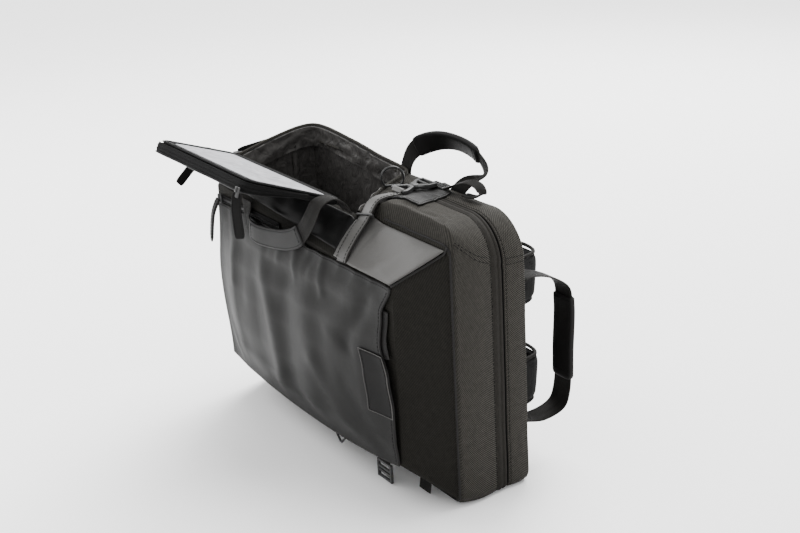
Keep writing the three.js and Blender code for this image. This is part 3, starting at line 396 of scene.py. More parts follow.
def coated_cloth(name, colour, roughness, index):
    made, tree, shader, place, _ = new_material(name)
    pores = place_group(tree, "grain", build_grain, Place=place, Size=0.0009)
    colours = blend_colours(tree, pores.outputs["Mottle"], shaded(colour, 0.86), shaded(colour, 1.16))
    add_wear(tree, shader, place, colours, shaded(colour, 1.9), 0.25, 0.06)
    rough = calculate(tree, "MULTIPLY_ADD", pores.outputs["Mottle"], 0.14, roughness - 0.07)
    tree.links.new(rough, shader.inputs["Roughness"])
    shader.inputs["IOR"].default_value = index
    soft = add_node(tree, "ShaderNodeTexNoise", {"Vector": place, "Scale": 38.0, "Detail": 2.0})
    under = add_bump(tree, shader, soft.outputs[0], 0.0012, 0.35)
    add_bump(tree, shader, pores.outputs["Height"], 0.00008, 0.6, under)
    return made


def lining_cloth(name, colour, depth):
    made, tree, shader, place, uv = new_material(name)
    wrinkles_and_painted_shade = add_node(
        tree, "ShaderNodeTexNoise", {"Vector": place, "Scale": 55.0, "Detail": 4.0, "Distortion": 1.6}
    )
    # The crinkles' own height picks the colour: painted highlight on their crests and painted shade in their
    # hollows.
    colours = blend_colours(tree, wrinkles_and_painted_shade.outputs[0], shaded(colour, 0.35), shaded(colour, 1.8))
    add_wear(tree, shader, place, colours, shaded(colour, 1.8), 0.2, 0.05)
    shader.inputs["Roughness"].default_value = 0.45
    shader.inputs["IOR"].default_value = 1.2
    weave = place_group(tree, "twill", build_twill, Place=uv, Pitch=0.0008)
    under = add_bump(tree, shader, wrinkles_and_painted_shade.outputs[0], depth, 0.9)
    add_bump(tree, shader, weave.outputs["Height"], 0.00006, 0.4, under)
    return made


def leather(name, colour):
    made, tree, shader, place, _ = new_material(name)
    pores = place_group(tree, "grain", build_grain, Place=place, Size=0.0013)
    colours = blend_colours(tree, pores.outputs["Mottle"], shaded(colour, 0.75), shaded(colour, 1.5))
    add_wear(tree, shader, place, colours, shaded(colour, 5.0), 0.55, 0.1)
    rough = calculate(tree, "MULTIPLY_ADD", pores.outputs["Mottle"], 0.2, 0.36)
    tree.links.new(rough, shader.inputs["Roughness"])
    shader.inputs["IOR"].default_value = 1.14
    add_bump(tree, shader, pores.outputs["Height"], 0.00014, 0.7)
    return made


def webbing_cloth(name, colour, pitch):
    made, tree, shader, place, uv = new_material(name)
    ribs = place_group(tree, "ribs", build_ribs, Place=uv, Pitch=pitch)
    # The ribs' height picks the colour: painted shade between the ribs and painted highlight on them.
    cloth = blend_colours(tree, ribs.outputs["Height"], shaded(colour, 0.55), shaded(colour, 1.5))
    add_wear(tree, shader, place, cloth, shaded(colour, 3.0), 0.35, 0.12)
    shader.inputs["Roughness"].default_value = 0.6
    shader.inputs["IOR"].default_value = 1.12
    add_bump(tree, shader, ribs.outputs["Height"], 0.00045, 1.0)
    return made


def moulded_plastic(name, colour):
    made, tree, shader, place, _ = new_material(name)
    pores = place_group(tree, "grain", build_grain, Place=place, Size=0.0006)
    colours = blend_colours(tree, pores.outputs["Mottle"], shaded(colour, 0.85), shaded(colour, 1.15))
    add_wear(tree, shader, place, colours, shaded(colour, 2.4), 0.4, 0.06)
    shader.inputs["Roughness"].default_value = 0.42
    shader.inputs["IOR"].default_value = 1.3
    add_bump(tree, shader, pores.outputs["Height"], 0.00004, 0.5)
    return made


def painted_metal(name, colour):
    made, tree, shader, place, _ = new_material(name)
    pores = place_group(tree, "grain", build_grain, Place=place, Size=0.0008)
    colours = blend_colours(tree, pores.outputs["Mottle"], shaded(colour, 0.8), shaded(colour, 1.3))
    add_wear(tree, shader, place, colours, shaded(colour, 9.0), 0.5, 0.05)
    shader.inputs["Metallic"].default_value = 0.5
    shader.inputs["IOR"].default_value = 1.25
    rough = calculate(tree, "MULTIPLY_ADD", pores.outputs["Mottle"], 0.2, 0.25)
    tree.links.new(rough, shader.inputs["Roughness"])
    add_bump(tree, shader, pores.outputs["Height"], 0.00003, 0.4)
    return made


def spacer_mesh(name, colour):
    made, tree, shader, place, _ = new_material(name)
    holes = add_node(
        tree, "ShaderNodeTexVoronoi", {"Vector": place, "Scale": 330.0, "Randomness": 0.15}, feature="F1"
    )
    depth = calculate(tree, "MINIMUM", calculate(tree, "MULTIPLY", holes.outputs[0], 2.2), 1.0)
    # The holes' depth picks the colour: painted shade in the holes.
    cloth = blend_colours(tree, depth, shaded(colour, 0.35), shaded(colour, 1.8))
    add_wear(tree, shader, place, cloth, shaded(colour, 3.5), 0.3, 0.12)
    shader.inputs["Roughness"].default_value = 0.8
    shader.inputs["IOR"].default_value = 1.12
    add_bump(tree, shader, depth, 0.0006, 0.8)
    return made


def plain_thread(name, colour):
    made, tree, shader, place, _ = new_material(name)
    twist = add_node(tree, "ShaderNodeTexWave", {"Vector": place, "Scale": 260.0, "Distortion": 1.0})
    # The twist's bands pick the colour: painted shade and painted highlight along the twist.
    colours = blend_colours(tree, twist.outputs["Fac"], shaded(colour, 0.6), shaded(colour, 2.2))
    tree.links.new(colours, shader.inputs["Base Color"])
    shader.inputs["Roughness"].default_value = 0.6
    shader.inputs["IOR"].default_value = 1.15
    add_bump(tree, shader, twist.outputs["Fac"], 0.0001, 0.5)
    return made


def make_finish(kind, name):
    colours = bpy.context.scene.backpack_colours
    s = sizes()
    makers = {
        "twill": lambda: twill_cloth(name, colours.twill, s.twill, 0.0006, 0.88),
        "fine_twill": lambda: twill_cloth(name, colours.fine_twill, s.fine_twill, 0.0004, 0.7),
        "welt": lambda: twill_cloth(name, colours.welt, 0.0011, 0.0002, 0.5),
        "coated": lambda: coated_cloth(name, colours.coated, 0.47, 1.17),
        # Painted highlight: the lit copy of the coated cloth.
        "top_coated": lambda: coated_cloth(name, colours.top_coated, 0.42, 1.30),
        # Painted shade: the shaded copy of the coated cloth.
        "dark_coated": lambda: coated_cloth(name, colours.dark_coated, 0.45, 1.12),
        "lining": lambda: lining_cloth(name, colours.lining, 0.004),
        "pale_lining": lambda: lining_cloth(name, colours.pale_lining, 0.0002),
        "leather": lambda: leather(name, colours.leather),
        "webbing": lambda: webbing_cloth(name, colours.webbing, s.rib),
        "zip_tape": lambda: twill_cloth(name, colours.zip_tape, 0.0012, 0.0002, 0.3),
        # The teeth take the zip's colour tripled, a painted highlight on the coil.
        "teeth": lambda: moulded_plastic(name, [3 * channel for channel in colours.zip_tape]),
        "thread": lambda: plain_thread(name, colours.thread),
        "plastic": lambda: moulded_plastic(name, colours.plastic),
        "metal": lambda: painted_metal(name, colours.metal),
        "mesh": lambda: spacer_mesh(name, colours.mesh),
    }
    return makers[kind]()


def finish(kind):
    """The bag's own material of a kind, made once."""
    name = "backpack_" + kind
    return bpy.data.materials.get(name) or make_finish(kind, name)


# Meshes


def mapped(columns, rows, place, uv=None):
    """A grid of quads put in place by place(u, v), with u and v from 0 to 1.

    Its UV map is measured along it in metres, or given by uv(u, v)."""
    bm = bmesh.new()
    bmesh.ops.create_grid(bm, x_segments=columns, y_segments=rows, size=0.5)
    spots = {}
    for vert in bm.verts:
        spots[round((vert.co.x + 0.5) * columns), round((vert.co.y + 0.5) * rows)] = vert
    for (i, j), vert in spots.items():
        vert.co = place(i / columns, j / rows)
    measured = {}
    for j in range(rows + 1):
        for i in range(columns + 1):
            here = spots[i, j].co
            across = measured[i - 1, j][0] + (here - spots[i - 1, j].co).length if i else 0.0
            up = measured[i, j - 1][1] + (here - spots[i, j - 1].co).length if j else 0.0
            measured[i, j] = (across, up)
    layer = bm.loops.layers.uv.new("UVMap")
    index = {vert: spot for spot, vert in spots.items()}
    for face in bm.faces:
        for loop in face.loops:
            i, j = index[loop.vert]
            loop[layer].uv = uv(i / columns, j / rows) if uv else measured[i, j]
        face.smooth = True
    return bm


def close_up(bm, distance=1e-5):
    """Merges doubles and turns the faces of a closed shape outwards."""
    bmesh.ops.remove_doubles(bm, verts=bm.verts, dist=distance)
    bmesh.ops.recalc_face_normals(bm, faces=bm.faces)
    return bm


def fill_ends(bm):
    """Closes the open ends of a tube."""
    rims = [edge for edge in bm.edges if edge.is_boundary]
    made = bmesh.ops.holes_fill(bm, edges=rims, sides=0)
    for face in made["faces"]:
        face.smooth = False


def bend(start, corner, stop, steps):
    """Points on the curve that cuts a corner round from start to stop."""
    shares = [step / steps for step in range(steps + 1)]
    return [start.lerp(corner, t).lerp(corner.lerp(stop, t), t) for t in shares]


def along_corners(corners, steps):
    """Spots (u, v) on the straight sides from corner to corner, the last corner left out."""
    return [
        (mix(u0, u1, k / steps), mix(v0, v1, k / steps))
        for (u0, v0), (u1, v1) in zip(corners, corners[1:])
        for k in range(steps)
    ]


def between(p, q, low, high, t):
    """The point at t on the line from p at low to q at high."""
    return p.lerp(q, (t - low) / (high - low))


def smooth_line(points, steps):
    """Points on a centripetal Catmull-Rom line through the given ones, ends included."""
    ends = [2 * points[0] - points[1], *points, 2 * points[-1] - points[-2]]
    line = []
    for step in range(steps + 1):
        x = step / steps * (len(points) - 1)
        i = min(int(x), len(points) - 2)
        a, b, c, d = ends[i : i + 4]
        knots = [0.0]
        for start, stop in ((a, b), (b, c), (c, d)):
            knots.append(knots[-1] + max((stop - start).length, 1e-6) ** 0.5)
        t = mix(knots[1], knots[2], x - i)
        sides = enumerate(((a, b), (b, c), (c, d)))
        first = [between(p, q, knots[k], knots[k + 1], t) for k, (p, q) in sides]
        second = [between(first[k], first[k + 1], knots[k], knots[k + 2], t) for k in (0, 1)]
        line.append(between(second[0], second[1], knots[1], knots[2], t))
    return line


def frames_along(rows, steps):
    """Point, way, across and normal at each step of a route of (point, across) rows."""
    line = smooth_line([Vector(point) for point, _ in rows], steps)
    turns = smooth_line([Vector(across) for _, across in rows], steps)
    made = []
    for i, point in enumerate(line):
        way = (line[min(i + 1, steps)] - line[max(i - 1, 0)]).normalized()
        across = (turns[i] - way * turns[i].dot(way)).normalized()
        made.append((point, way, across, way.cross(across)))
    return made


def strip(stations, width, thickness, around=14, roundness=0.45, swell=None):
    """A closed ribbon over stations of (point, way, across, normal). swell(share) scales it."""
    last = len(stations) - 1

    def place(u, v):
        point, _, across, normal = stations[round(v * last)]
        angle = 2 * math.pi * (u + 0.5 / around)
        c, s = math.cos(angle), math.sin(angle)
        scale = swell(v) if swell else 1.0
        wide = math.copysign(abs(c) ** roundness, c) * width / 2 * scale
        thick = math.copysign(abs(s) ** roundness, s) * thickness / 2 * scale
        return point + across * wide + normal * thick

    bm = mapped(around, last, place)
    close_up(bm)
    fill_ends(bm)
    return close_up(bm)


def tube(points, radius, around=10, closed=False):
    """A round tube along points, or a closed ring of it."""
    count = len(points)

    def place(u, v):
        k = round(v * (count if closed else count - 1)) % count
        before = points[(k - 1) % count] if closed else points[max(k - 1, 0)]
        after = points[(k + 1) % count] if closed else points[min(k + 1, count - 1)]
        way = (after - before).normalized()
        side = way.cross(Vector((0.12, 0.31, 0.94))).normalized()
        up = side.cross(way)
        angle = 2 * math.pi * u
        return points[k] + (side * math.cos(angle) + up * math.sin(angle)) * radius

    bm = mapped(around, count if closed else count - 1, place)
    close_up(bm, radius / 100)
    if not closed:
        fill_ends(bm)
    return close_up(bm, radius / 100)


def block(bm, centre, size, bevel, turn=None):
    """A box with bevelled edges, joined to bm."""
    matrix = Matrix.Translation(centre) @ (turn or Matrix.Identity(4)) @ Matrix.Diagonal((*size, 1))
    made = bmesh.ops.create_cube(bm, size=1.0, matrix=matrix)
    edges = {edge for vert in made["verts"] for edge in vert.link_edges}
    bmesh.ops.bevel(
        bm, geom=list(edges), offset=bevel, segments=2, profile=0.5, affect="EDGES", material=-1
    )


def merged(parts):
    """One bmesh that holds several, which it frees."""
    whole = bmesh.new()
    holder = bpy.data.meshes.new("holder")
    for part in parts:
        part.to_mesh(holder)
        part.free()
        whole.from_mesh(holder)
    bpy.data.meshes.remove(holder)
    return whole


def sew(bm, line):
    """Stitches along a line of points, joined to bm."""
    s = sizes()
    pitch = s.stitch + s.stitch_gap
    reach = 0.0
    due = pitch / 2
    for start, stop in zip(line, line[1:]):
        step = (stop - start).length
        while step > 0 and due <= reach + step:
            centre = start.lerp(stop, (due - reach) / step)
            turn = (stop - start).to_track_quat("Z", "Y").to_matrix().to_4x4()
            bmesh.ops.create_cone(
                bm,
                cap_ends=True,
                segments=5,
                radius1=s.thread,
                radius2=s.thread,
                depth=s.stitch,
                matrix=Matrix.Translation(centre) @ turn,
            )
            due += pitch
        reach += step


def teeth(bm, line, across, size=(0.0026, 0.0008, 0.0009), pitch=0.0017):
    """Zip teeth along a line of points. across is the way that each tooth points."""
    reach = 0.0
    due = 0.0
    for start, stop in zip(line, line[1:]):
        step = (stop - start).length
        if step == 0:
            continue
        way = (stop - start) / step
        up = way.cross(across).normalized()
        turn = Matrix((across, way, up)).transposed().to_4x4()
        while due <= reach + step:
            centre = start.lerp(stop, (due - reach) / step)
            matrix = Matrix.Translation(centre) @ turn @ Matrix.Diagonal((*size, 1))
            bmesh.ops.create_cube(bm, size=1.0, matrix=matrix)
            due += pitch
        reach += step


def link(name, data):
    made = bpy.data.objects.new(name, data)
    bpy.context.scene.collection.objects.link(made)
    return made


def add_piece(name, bm, finishes, nodes=(), wall=None, subdivide=0, flat=False):
    """Makes the object of a bmesh and ties it to the frame. wall is a thickness laid inwards."""
    if isinstance(finishes, str):
        finishes = [finishes]
    mesh = bpy.data.meshes.new(name)
    if flat:
        for face in bm.faces:
            face.smooth = False
    bm.to_mesh(mesh)
    bm.free()
    piece = link(name, mesh)
    for each in finishes:
        mesh.materials.append(finish(each))
    if wall:
        solid = piece.modifiers.new("Wall", "SOLIDIFY")
        solid.thickness = wall
        solid.offset = -1.0
        solid.use_even_offset = False
        solid.material_offset = len(finishes) // 2 if len(finishes) > 1 else 0
    if subdivide:
        finer = piece.modifiers.new("Finer", "SUBSURF")
        finer.levels = subdivide
        finer.render_levels = subdivide
    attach(piece, "root")
    if nodes:
        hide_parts(*nodes)
    return piece


def add_stitches(name, lines):
    """One piece of all the stitches along several lines of points."""
    bm = bmesh.new()
    for line in lines:
        sew(bm, line)
    return add_piece(name, bm, "thread")


# The body


Section = namedtuple("Section", "depth near far low falls shoulder")
# Insets of the near, far and low sides as shares of their tapers, falls of the upper side at its far
# end, at the mouth's near end and from the saddle on as shares of HIGH_TAPER, shoulder of SHOULDER.
SECTIONS = (
    Section(-1.00 * TAPER, 1.00, 1.00, 1.00, (0.59, 0.96, 1.00), 0.12),
    Section(-0.77 * TAPER, 0.77, 0.80, 0.80, (0.32, 0.62, 0.84), 0.14),
    Section(-0.38 * TAPER, 0.38, 0.60, 0.48, (0.20, 0.27, 0.57), 0.16),
    Section(-0.04 * TAPER, 0.07, 0.50, 0.18, (0.16, 0.21, 0.33), 0.18),
    Section(0.03 * BAND, 0.00, 0.10, 0.04, (0.14, 0.16, -0.13), 0.35),
    Section(0.30 * BAND, -0.03, 0.00, 0.00, (0.09, 0.09, -0.05), 0.75),
    Section(0.65 * BAND, 0.00, 0.00, 0.00, (0.04, 0.02, 0.00), 1.00),
    Section(0.97 * BAND, 0.00, 0.00, 0.00, (0.04, 0.02, 0.03), 1.00),
    Section(1.00 * BAND, 0.06, 0.40, 0.04, (0.09, 0.07, 0.08), 0.98),
)
Outline = namedtuple("Outline", "near far low far_high mouth_high high shoulder hem")


def outline_at(y):
    """The outline's sizes at depth y, straight from one section to the next."""
    y = clamp(y, -TAPER, BAND)
    after = next(k for k in range(1, len(SECTIONS)) if y <= SECTIONS[k].depth + 1e-9)
    a, b = SECTIONS[after - 1], SECTIONS[after]
    t = (y - a.depth) / (b.depth - a.depth)
    highs = [WIDTH - HIGH_TAPER * mix(p, q, t) for p, q in zip(a.falls, b.falls)]
    return Outline(
        HALF - NEAR_TAPER * mix(a.near, b.near, t),
        -HALF + FAR_TAPER * mix(a.far, b.far, t),
        LOW_TAPER * mix(a.low, b.low, t),
        *highs,
        SHOULDER * mix(a.shoulder, b.shoulder, t),
        HEM * (0.5 if y < 0 else 1.0),
    )


def eased(y):
    """The outline's sizes at depth y, rounded where sections meet away from a crease."""
    reach = min(EASE, min(abs(y - crease) for crease in CREASES))
    parts = [outline_at(y - reach), outline_at(y), outline_at(y), outline_at(y + reach)]
    return Outline(*[sum(values) / 4 for values in zip(*parts)])


def top_at(x, y):
    """The height of the upper side away from its rounded corners."""
    o = eased(y)
    saddle = MOUTH_NEAR_END + SADDLE
    if x >= saddle:
        return o.high
    if x >= MOUTH_NEAR_END:
        return mix(o.mouth_high, o.high, (x - MOUTH_NEAR_END) / SADDLE)
    return mix(o.far_high, o.mouth_high, (x + HALF) / (MOUTH_NEAR_END + HALF))


def mouth_near(y):
    t = clamp((y + MOUTH_FRONT) / (MOUTH_BACK + MOUTH_FRONT))
    return MOUTH_NEAR_END - t * MOUTH_SLANT


# Stretches of the outline from the lower near corner up and round, with their columns of quads.
STRETCHES = (
    ("low_near", 5),
    ("near", 46),
    ("shoulder", 20),
    ("top", 18),
    ("saddle", 10),
    ("corner", 10),
    ("mouth", 52),
    ("far_high", 6),
    ("far", 40),
    ("far_low", 5),
    ("low", 56),
)
COLUMNS = [(name, step / count) for name, count in STRETCHES for step in range(count)] + [("low_near", 0.0)]


def outline_spot(name, t, y):
    """Place and outward way in the XZ plane of a spot on the outline."""
    o = eased(y)
    arcs = {
        "low_near": (o.near - o.hem, o.low + o.hem, o.hem, -90),
        "shoulder": (o.near - o.shoulder, o.high - o.shoulder, o.shoulder, 0),
        "far_high": (o.far + o.hem, o.far_high - o.hem, o.hem, 90),
        "far_low": (o.far + o.hem, o.low + o.hem, o.hem, 180),
    }
    if name in arcs:
        x, z, radius, start = arcs[name]
        angle = math.radians(start + 90 * t)
        way = Vector((math.cos(angle), 0, math.sin(angle)))
        return Vector((x, y, z)) + way * radius, way
    if name == "near":
        return Vector((o.near, y, mix(o.low + o.hem, o.high - o.shoulder, t))), Vector((1, 0, 0))
    if name == "far":
        return Vector((o.far, y, mix(o.far_high - o.hem, o.low + o.hem, t))), Vector((-1, 0, 0))
    if name == "low":
        return Vector((mix(o.far + o.hem, o.near - o.hem, t), y, o.low)), Vector((0, 0, -1))
    edges = {
        "top": (o.near - o.shoulder, MOUTH_NEAR_END + SADDLE),
        "saddle": (MOUTH_NEAR_END + SADDLE, MOUTH_NEAR_END),
        "corner": (MOUTH_NEAR_END, mouth_near(y)),
        "mouth": (mouth_near(y), o.far + o.hem),
    }
    x = mix(*edges[name], t)
    return Vector((x, y, top_at(x, y))), Vector((0, 0, 1))


def band_relief(y):
    """How far the band's cloth stands out over the plain outline at depth y."""
    puff = sizes().puff
    if y < 0:
        return 0.0
    if y < ZIP_FRONT:
        share = clamp((y - BAND_START) / (ZIP_FRONT - BAND_START))
        return puff * math.sin(math.pi * share) ** 0.6 - 0.0006 * hill(y - ZIP_FRONT, 0.0012)
    if y < ZIP_BACK:
        ridge = 0.0014 * hill(y - 0.0566, 0.0036) + 0.0012 * hill(y - 0.0635, 0.0024)
        slit = 0.0040 * hill(y - SLIT, SLIT_WIDTH) + 0.0005 * hill(y - 0.0606, 0.0008)
        return ridge - slit
    share = clamp((y - ZIP_BACK) / (BAND - ZIP_BACK))
    return 0.6 * puff * math.sin(math.pi * share) ** 0.6 - 0.0005 * hill(y - BACK_SEAM, 0.0008)


def wrinkle_at(x, y):
    """How far the band's top is creased up beside the mouth."""
    waves = crinkle((x * 0.35, y, 0), 0.009) + 0.6 * crinkle((x, y * 0.7, 2), 0.016)
    return 0.0030 * waves * hill(y - 0.014, 0.016)


def body_spot(name, t, y, lift=0.0):
    """A point of the body's cloth with its puffs, seams and sags."""
    spot, way = outline_spot(name, t, y)
    out = band_relief(y)
    if y < 0 and name in ("near", "low", "far"):
        out -= 0.0022 * math.sin(math.pi * clamp(-y / TAPER)) * math.sin(math.pi * t)
    if y >= 0 and name in ("near", "shoulder"):
        seam = (1 - t) if name == "near" else t * 0.35
        out -= 0.0009 * hill(seam, 0.008)
    if name in ("top", "saddle"):
        out += wrinkle_at(spot.x, y)
    if y >= 0 and name in ("near", "shoulder", "top", "far"):
        out += 0.0008 * crinkle(spot, 0.045)
    spot = spot + way * (out + lift)
    spot.z = max(spot.z, REST)
    return placed(*spot)


def body_sheet(stations):
    """The body's cloth between depths, with the mouth left open."""
    rows = len(stations) - 1

    def place(u, v):
        name, t = COLUMNS[round(u * (len(COLUMNS) - 1))]
        return body_spot(name, t, stations[round(v * rows)])

    bm = mapped(len(COLUMNS) - 1, rows, place)
    mouth = []
    layer = bm.loops.layers.uv.active
    for face in bm.faces:
        centre = face.calc_center_median()
        y = centre.y + BACK_Y
        inside = centre.x < mouth_near(y) and -MOUTH_FRONT < y < MOUTH_BACK
        over = centre.z > top_at(centre.x, y) - 0.005
        if inside and over and centre.x > MOUTH_FAR - 0.003:
            mouth.append(face)
        if y < UNDER_PIPING or abs(y - SLIT) < 1.1 * SLIT_WIDTH:
            face.material_index = 1
    bmesh.ops.delete(bm, geom=mouth, context="FACES")
    bmesh.ops.remove_doubles(bm, verts=bm.verts, dist=1e-5)
    return bm, layer


def cap(bm, layer, y):
    """Closes the body's flat end at depth y."""
    rims = [e for e in bm.edges if e.is_boundary and all(abs(v.co.y - y) < 1e-4 for v in e.verts)]
    for face in bmesh.ops.contextual_create(bm, geom=rims)["faces"]:
        for loop in face.loops:
            loop[layer].uv = (loop.vert.co.x, loop.vert.co.z)
        face.smooth = False


def evenly(start, stop, count):
    return [mix(start, stop, k / count) for k in range(count)]


def build_shell():
    """The woven shell: front with its taper, zip band and back."""
    folded, flat = 0.006, ZIP_FRONT - 0.0025
    front = evenly(-TAPER, -MOUTH_FRONT, 14) + evenly(-MOUTH_FRONT, UNDER_PIPING, 5)
    front += evenly(UNDER_PIPING, folded, 9) + evenly(folded, flat, 24)
    front += evenly(flat, ZIP_FRONT, 6) + [ZIP_FRONT]
    bm, layer = body_sheet(front)
    cap(bm, layer, -TAPER - BACK_Y)
    bmesh.ops.recalc_face_normals(bm, faces=bm.faces)
    cloths = ["twill", "fine_twill", "lining", "lining"]
    add_piece("shell_front_cloth", bm, cloths, ["shell_front"], wall=SHELL_WALL)
    bm, _ = body_sheet(evenly(ZIP_FRONT, ZIP_BACK, 34) + [ZIP_BACK])
    bmesh.ops.recalc_face_normals(bm, faces=bm.faces)
    tapes = ["welt", "zip_tape", "lining", "lining"]
    add_piece("main_zip_tape", bm, tapes, ["main_zip_band"], wall=SHELL_WALL)
    flat = ZIP_BACK + 0.005
    back = evenly(ZIP_BACK, flat, 8) + evenly(flat, MOUTH_BACK, 12) + evenly(MOUTH_BACK, BAND, 6) + [BAND]
    bm, layer = body_sheet(back)
    cap(bm, layer, BACK_Y)
    bmesh.ops.recalc_face_normals(bm, faces=bm.faces)
    add_piece("shell_back_cloth", bm, cloths, ["shell_back"], wall=SHELL_WALL)


def round_the_body(y, lift, first, last):
    """Points round the body at depth y, from one column to another."""
    return [body_spot(*COLUMNS[k % (len(COLUMNS) - 1)], y, lift) for k in range(first, last + 1)]


def column_of(name, t=0.0):
    """The first column of a stretch, or one at a share of it."""
    start = next(k for k, (each, _) in enumerate(COLUMNS) if each == name)
    return start + round(t * dict(STRETCHES)[name])


def build_seams():
    """Piping round the band's front edge and the slopes, and the stitches of the band."""
    total = len(COLUMNS) - 1
    start = column_of("far")
    stop = column_of("saddle") + total
    ring = round_the_body(-0.0012, 0.0010, start, stop)
    add_piece("band_piping_cord", tube(ring, PIPING), "leather", ["band_piping"])
    depths = evenly(-TAPER - 0.001, -0.002, 16) + [-0.001]
    slope = [body_spot("shoulder", 0.55, y, 0.0011) for y in depths]
    add_piece("slope_piping", tube(slope, PIPING), "leather")
    lift = 0.0002
    seams = (FRONT_SEAM, BACK_SEAM)
    lines = [round_the_body(y, lift, column_of("low_near"), column_of("saddle")) for y in seams]
    lines += [round_the_body(y, lift, column_of("far"), total - 1) for y in seams]
    before_zip = evenly(0.004, ZIP_FRONT - 0.002, 30)
    behind_zip = evenly(ZIP_BACK + 0.003, BAND - 0.002, 14)
    for t in (0.0, 0.09):
        for depths in (before_zip, behind_zip):
            lines.append([body_spot("shoulder", t, y, lift) for y in depths])
    lines = [[Vector((spot.x, spot.y, max(spot.z, 4 * REST))) for spot in line] for line in lines]
    add_stitches("band_stitches", lines)


# The mouth


Corner = namedtuple("Corner", "side share rise")
RIM = (
    Corner("far", 0.0, 0.45),
    Corner("far", 0.45, 0.72),
    Corner("far", 0.85, 0.94),
    Corner("back", 0.03, 1.0),
    Corner("back", 0.45, 0.86),
    Corner("back", 0.72, 0.52),
    Corner("back", 0.96, 0.3),
    Corner("near", 0.06, 0.28),
    Corner("near", 0.5, 0.25),
    Corner("near", 0.96, 0.22),
)


def rim_line(out, lowered, steps=110):
    """The upper edge of the mouth's rim, drawn out from the mouth and lowered."""
    front, back, far = -MOUTH_FRONT - out, MOUTH_BACK + out, MOUTH_FAR - out
    points = []
    for side, share, rise in RIM:
        near = mouth_near(MOUTH_BACK) + out
        y = {"far": mix(front, back, share), "back": back, "near": mix(back, front, share)}[side]
        x = {"far": far, "back": mix(far, near, share), "near": mouth_near(y) + out}[side]
        points.append(Vector((x, y, top_at(x, y) + rise * RIM_HEIGHT - lowered)))
    return smooth_line(points, steps)


WALL_DROP = 0.026
WALL_ROWS = 50


def wall_sheet(edge, thickness, wave=0.0):
    """A soft wall that hangs from an upper edge on both of its sides."""
    last = len(edge) - 1

    def place(u, v):
        k = round(u * last)
        way = (edge[min(k + 1, last)] - edge[max(k - 1, 0)]).normalized()
        side = Vector((way.y, -way.x, 0)).normalized()
        angle = math.pi * clamp((v - 0.4) / 0.2)
        down = WALL_DROP * (clamp(1 - v / 0.4) + clamp((v - 0.6) / 0.4))
        out = math.cos(angle) * thickness / 2
        lift = math.sin(angle) * thickness / 2
        fold = wave * crinkle(edge[k] + Vector((0, 0, down)), 0.012)
        return placed(*(edge[k] + side * (out + fold) + Vector((0, 0, lift - down + 0.4 * fold))))

    return mapped(last, WALL_ROWS, place)


def build_mouth():
    """The mouth's rim with its zip, the lining strip and the compartment's near wall."""
    rim = rim_line(0.003, 0.002)
    add_piece("mouth_rim_cloth", wall_sheet(rim, 0.004), "twill", ["mouth_rim"])
    strip_edge = rim_line(-0.0016, 0.004)
    lining = wall_sheet(strip_edge, 0.0016, wave=0.0034)
    cloth = add_piece("mouth_lining_strip", lining, "lining", ["mouth_lining"])
    tape = rim_line(0.0006, 0.0035)
    bm = bmesh.new()
    for start, stop in zip(tape[2:-2], tape[3:-1]):
        inwards = Vector((0, 0, 1)).cross((stop - start).normalized())
        teeth(bm, [placed(*start), placed(*stop)], inwards, pitch=0.0019)
    add_piece("mouth_zip_teeth", bm, "teeth", flat=True)
    add_piece("cell_wall_pad", cell_wall(), "lining", ["cell_wall"])


def cell_wall():
    """The padded wall at the compartment's near end, with a rounded upper edge."""
    gap = 0.0024
    thick = 0.004

    def place(u, v):
        y = mix(-TAPER + 0.008, BAND - 0.008, u)
        o = outline_at(y)
        low, high = o.low + 0.007, top_at(mouth_near(y), y) - 0.008
        side = 1 if v < 0.5 else 0
        share = v * 2 if v < 0.5 else (1 - v) * 2
        soft = 0.0012 * crinkle((y, share * 0.3, 0), 0.05)
        x = mouth_near(max(y, -MOUTH_FRONT)) + gap + side * thick + soft
        return placed(x, y, mix(low, high, share))

    return mapped(30, 40, place)


# The hatch flap


FLAP_WIDTH = 0.117
FLAP_LENGTH = 0.264
FLAP_THICKNESS = 0.008
FLAP_CORNER = 0.016
HINGE = 0.020
FLAP_FAR = -HALF + FAR_TAPER
FLAP_NEAR = FLAP_FAR + FLAP_LENGTH
FLAP_SLANT = MOUTH_SLANT * FLAP_WIDTH / (MOUTH_BACK + MOUTH_FRONT) / 3


def flap_frame():
    """The matrix that takes the flap's own flat frame to its place. Its -Y runs to the free edge."""
    lift = sizes().flap_lift
    seat = FLAP_THICKNESS / 2 * math.cos(lift) + 2 * GAP + CLOTH / 2
    height = top_at(-HALF, -HINGE) + seat
    return Matrix.Translation(placed(0, -HINGE, height)) @ Matrix.Rotation(-lift, 4, "X")


def flap_outline(inset, count=96):
    """Evenly spread points round the flap, drawn in by inset, as (x, y)."""
    corners = [
        Vector((FLAP_FAR + inset, -inset)),
        Vector((FLAP_FAR + inset, -FLAP_WIDTH + inset)),
        Vector((FLAP_NEAR - FLAP_SLANT - inset, -FLAP_WIDTH + inset)),
        Vector((FLAP_NEAR - inset, -inset)),
    ]
    radius = max(FLAP_CORNER - inset * 0.6, 0.004)
    points = []
    for k, here in enumerate(corners):
        before, after = corners[k - 1], corners[(k + 1) % 4]
        start = here + (before - here).normalized() * radius
        stop = here + (after - here).normalized() * radius
        points += bend(start, here, stop, 8)
    points.append(points[0])
    return spread(points, count)


def spread(points, count):
    """count points spaced evenly along a line, its last point left out."""
    lengths = [(b - a).length for a, b in zip(points, points[1:])]
    total = sum(lengths)
    made = []
    k = 0
    passed = 0.0
    for step in range(count):
        due = total * step / count
        while passed + lengths[k] < due:
            passed += lengths[k]
            k += 1
        made.append(points[k].lerp(points[k + 1], (due - passed) / lengths[k]))
    return made


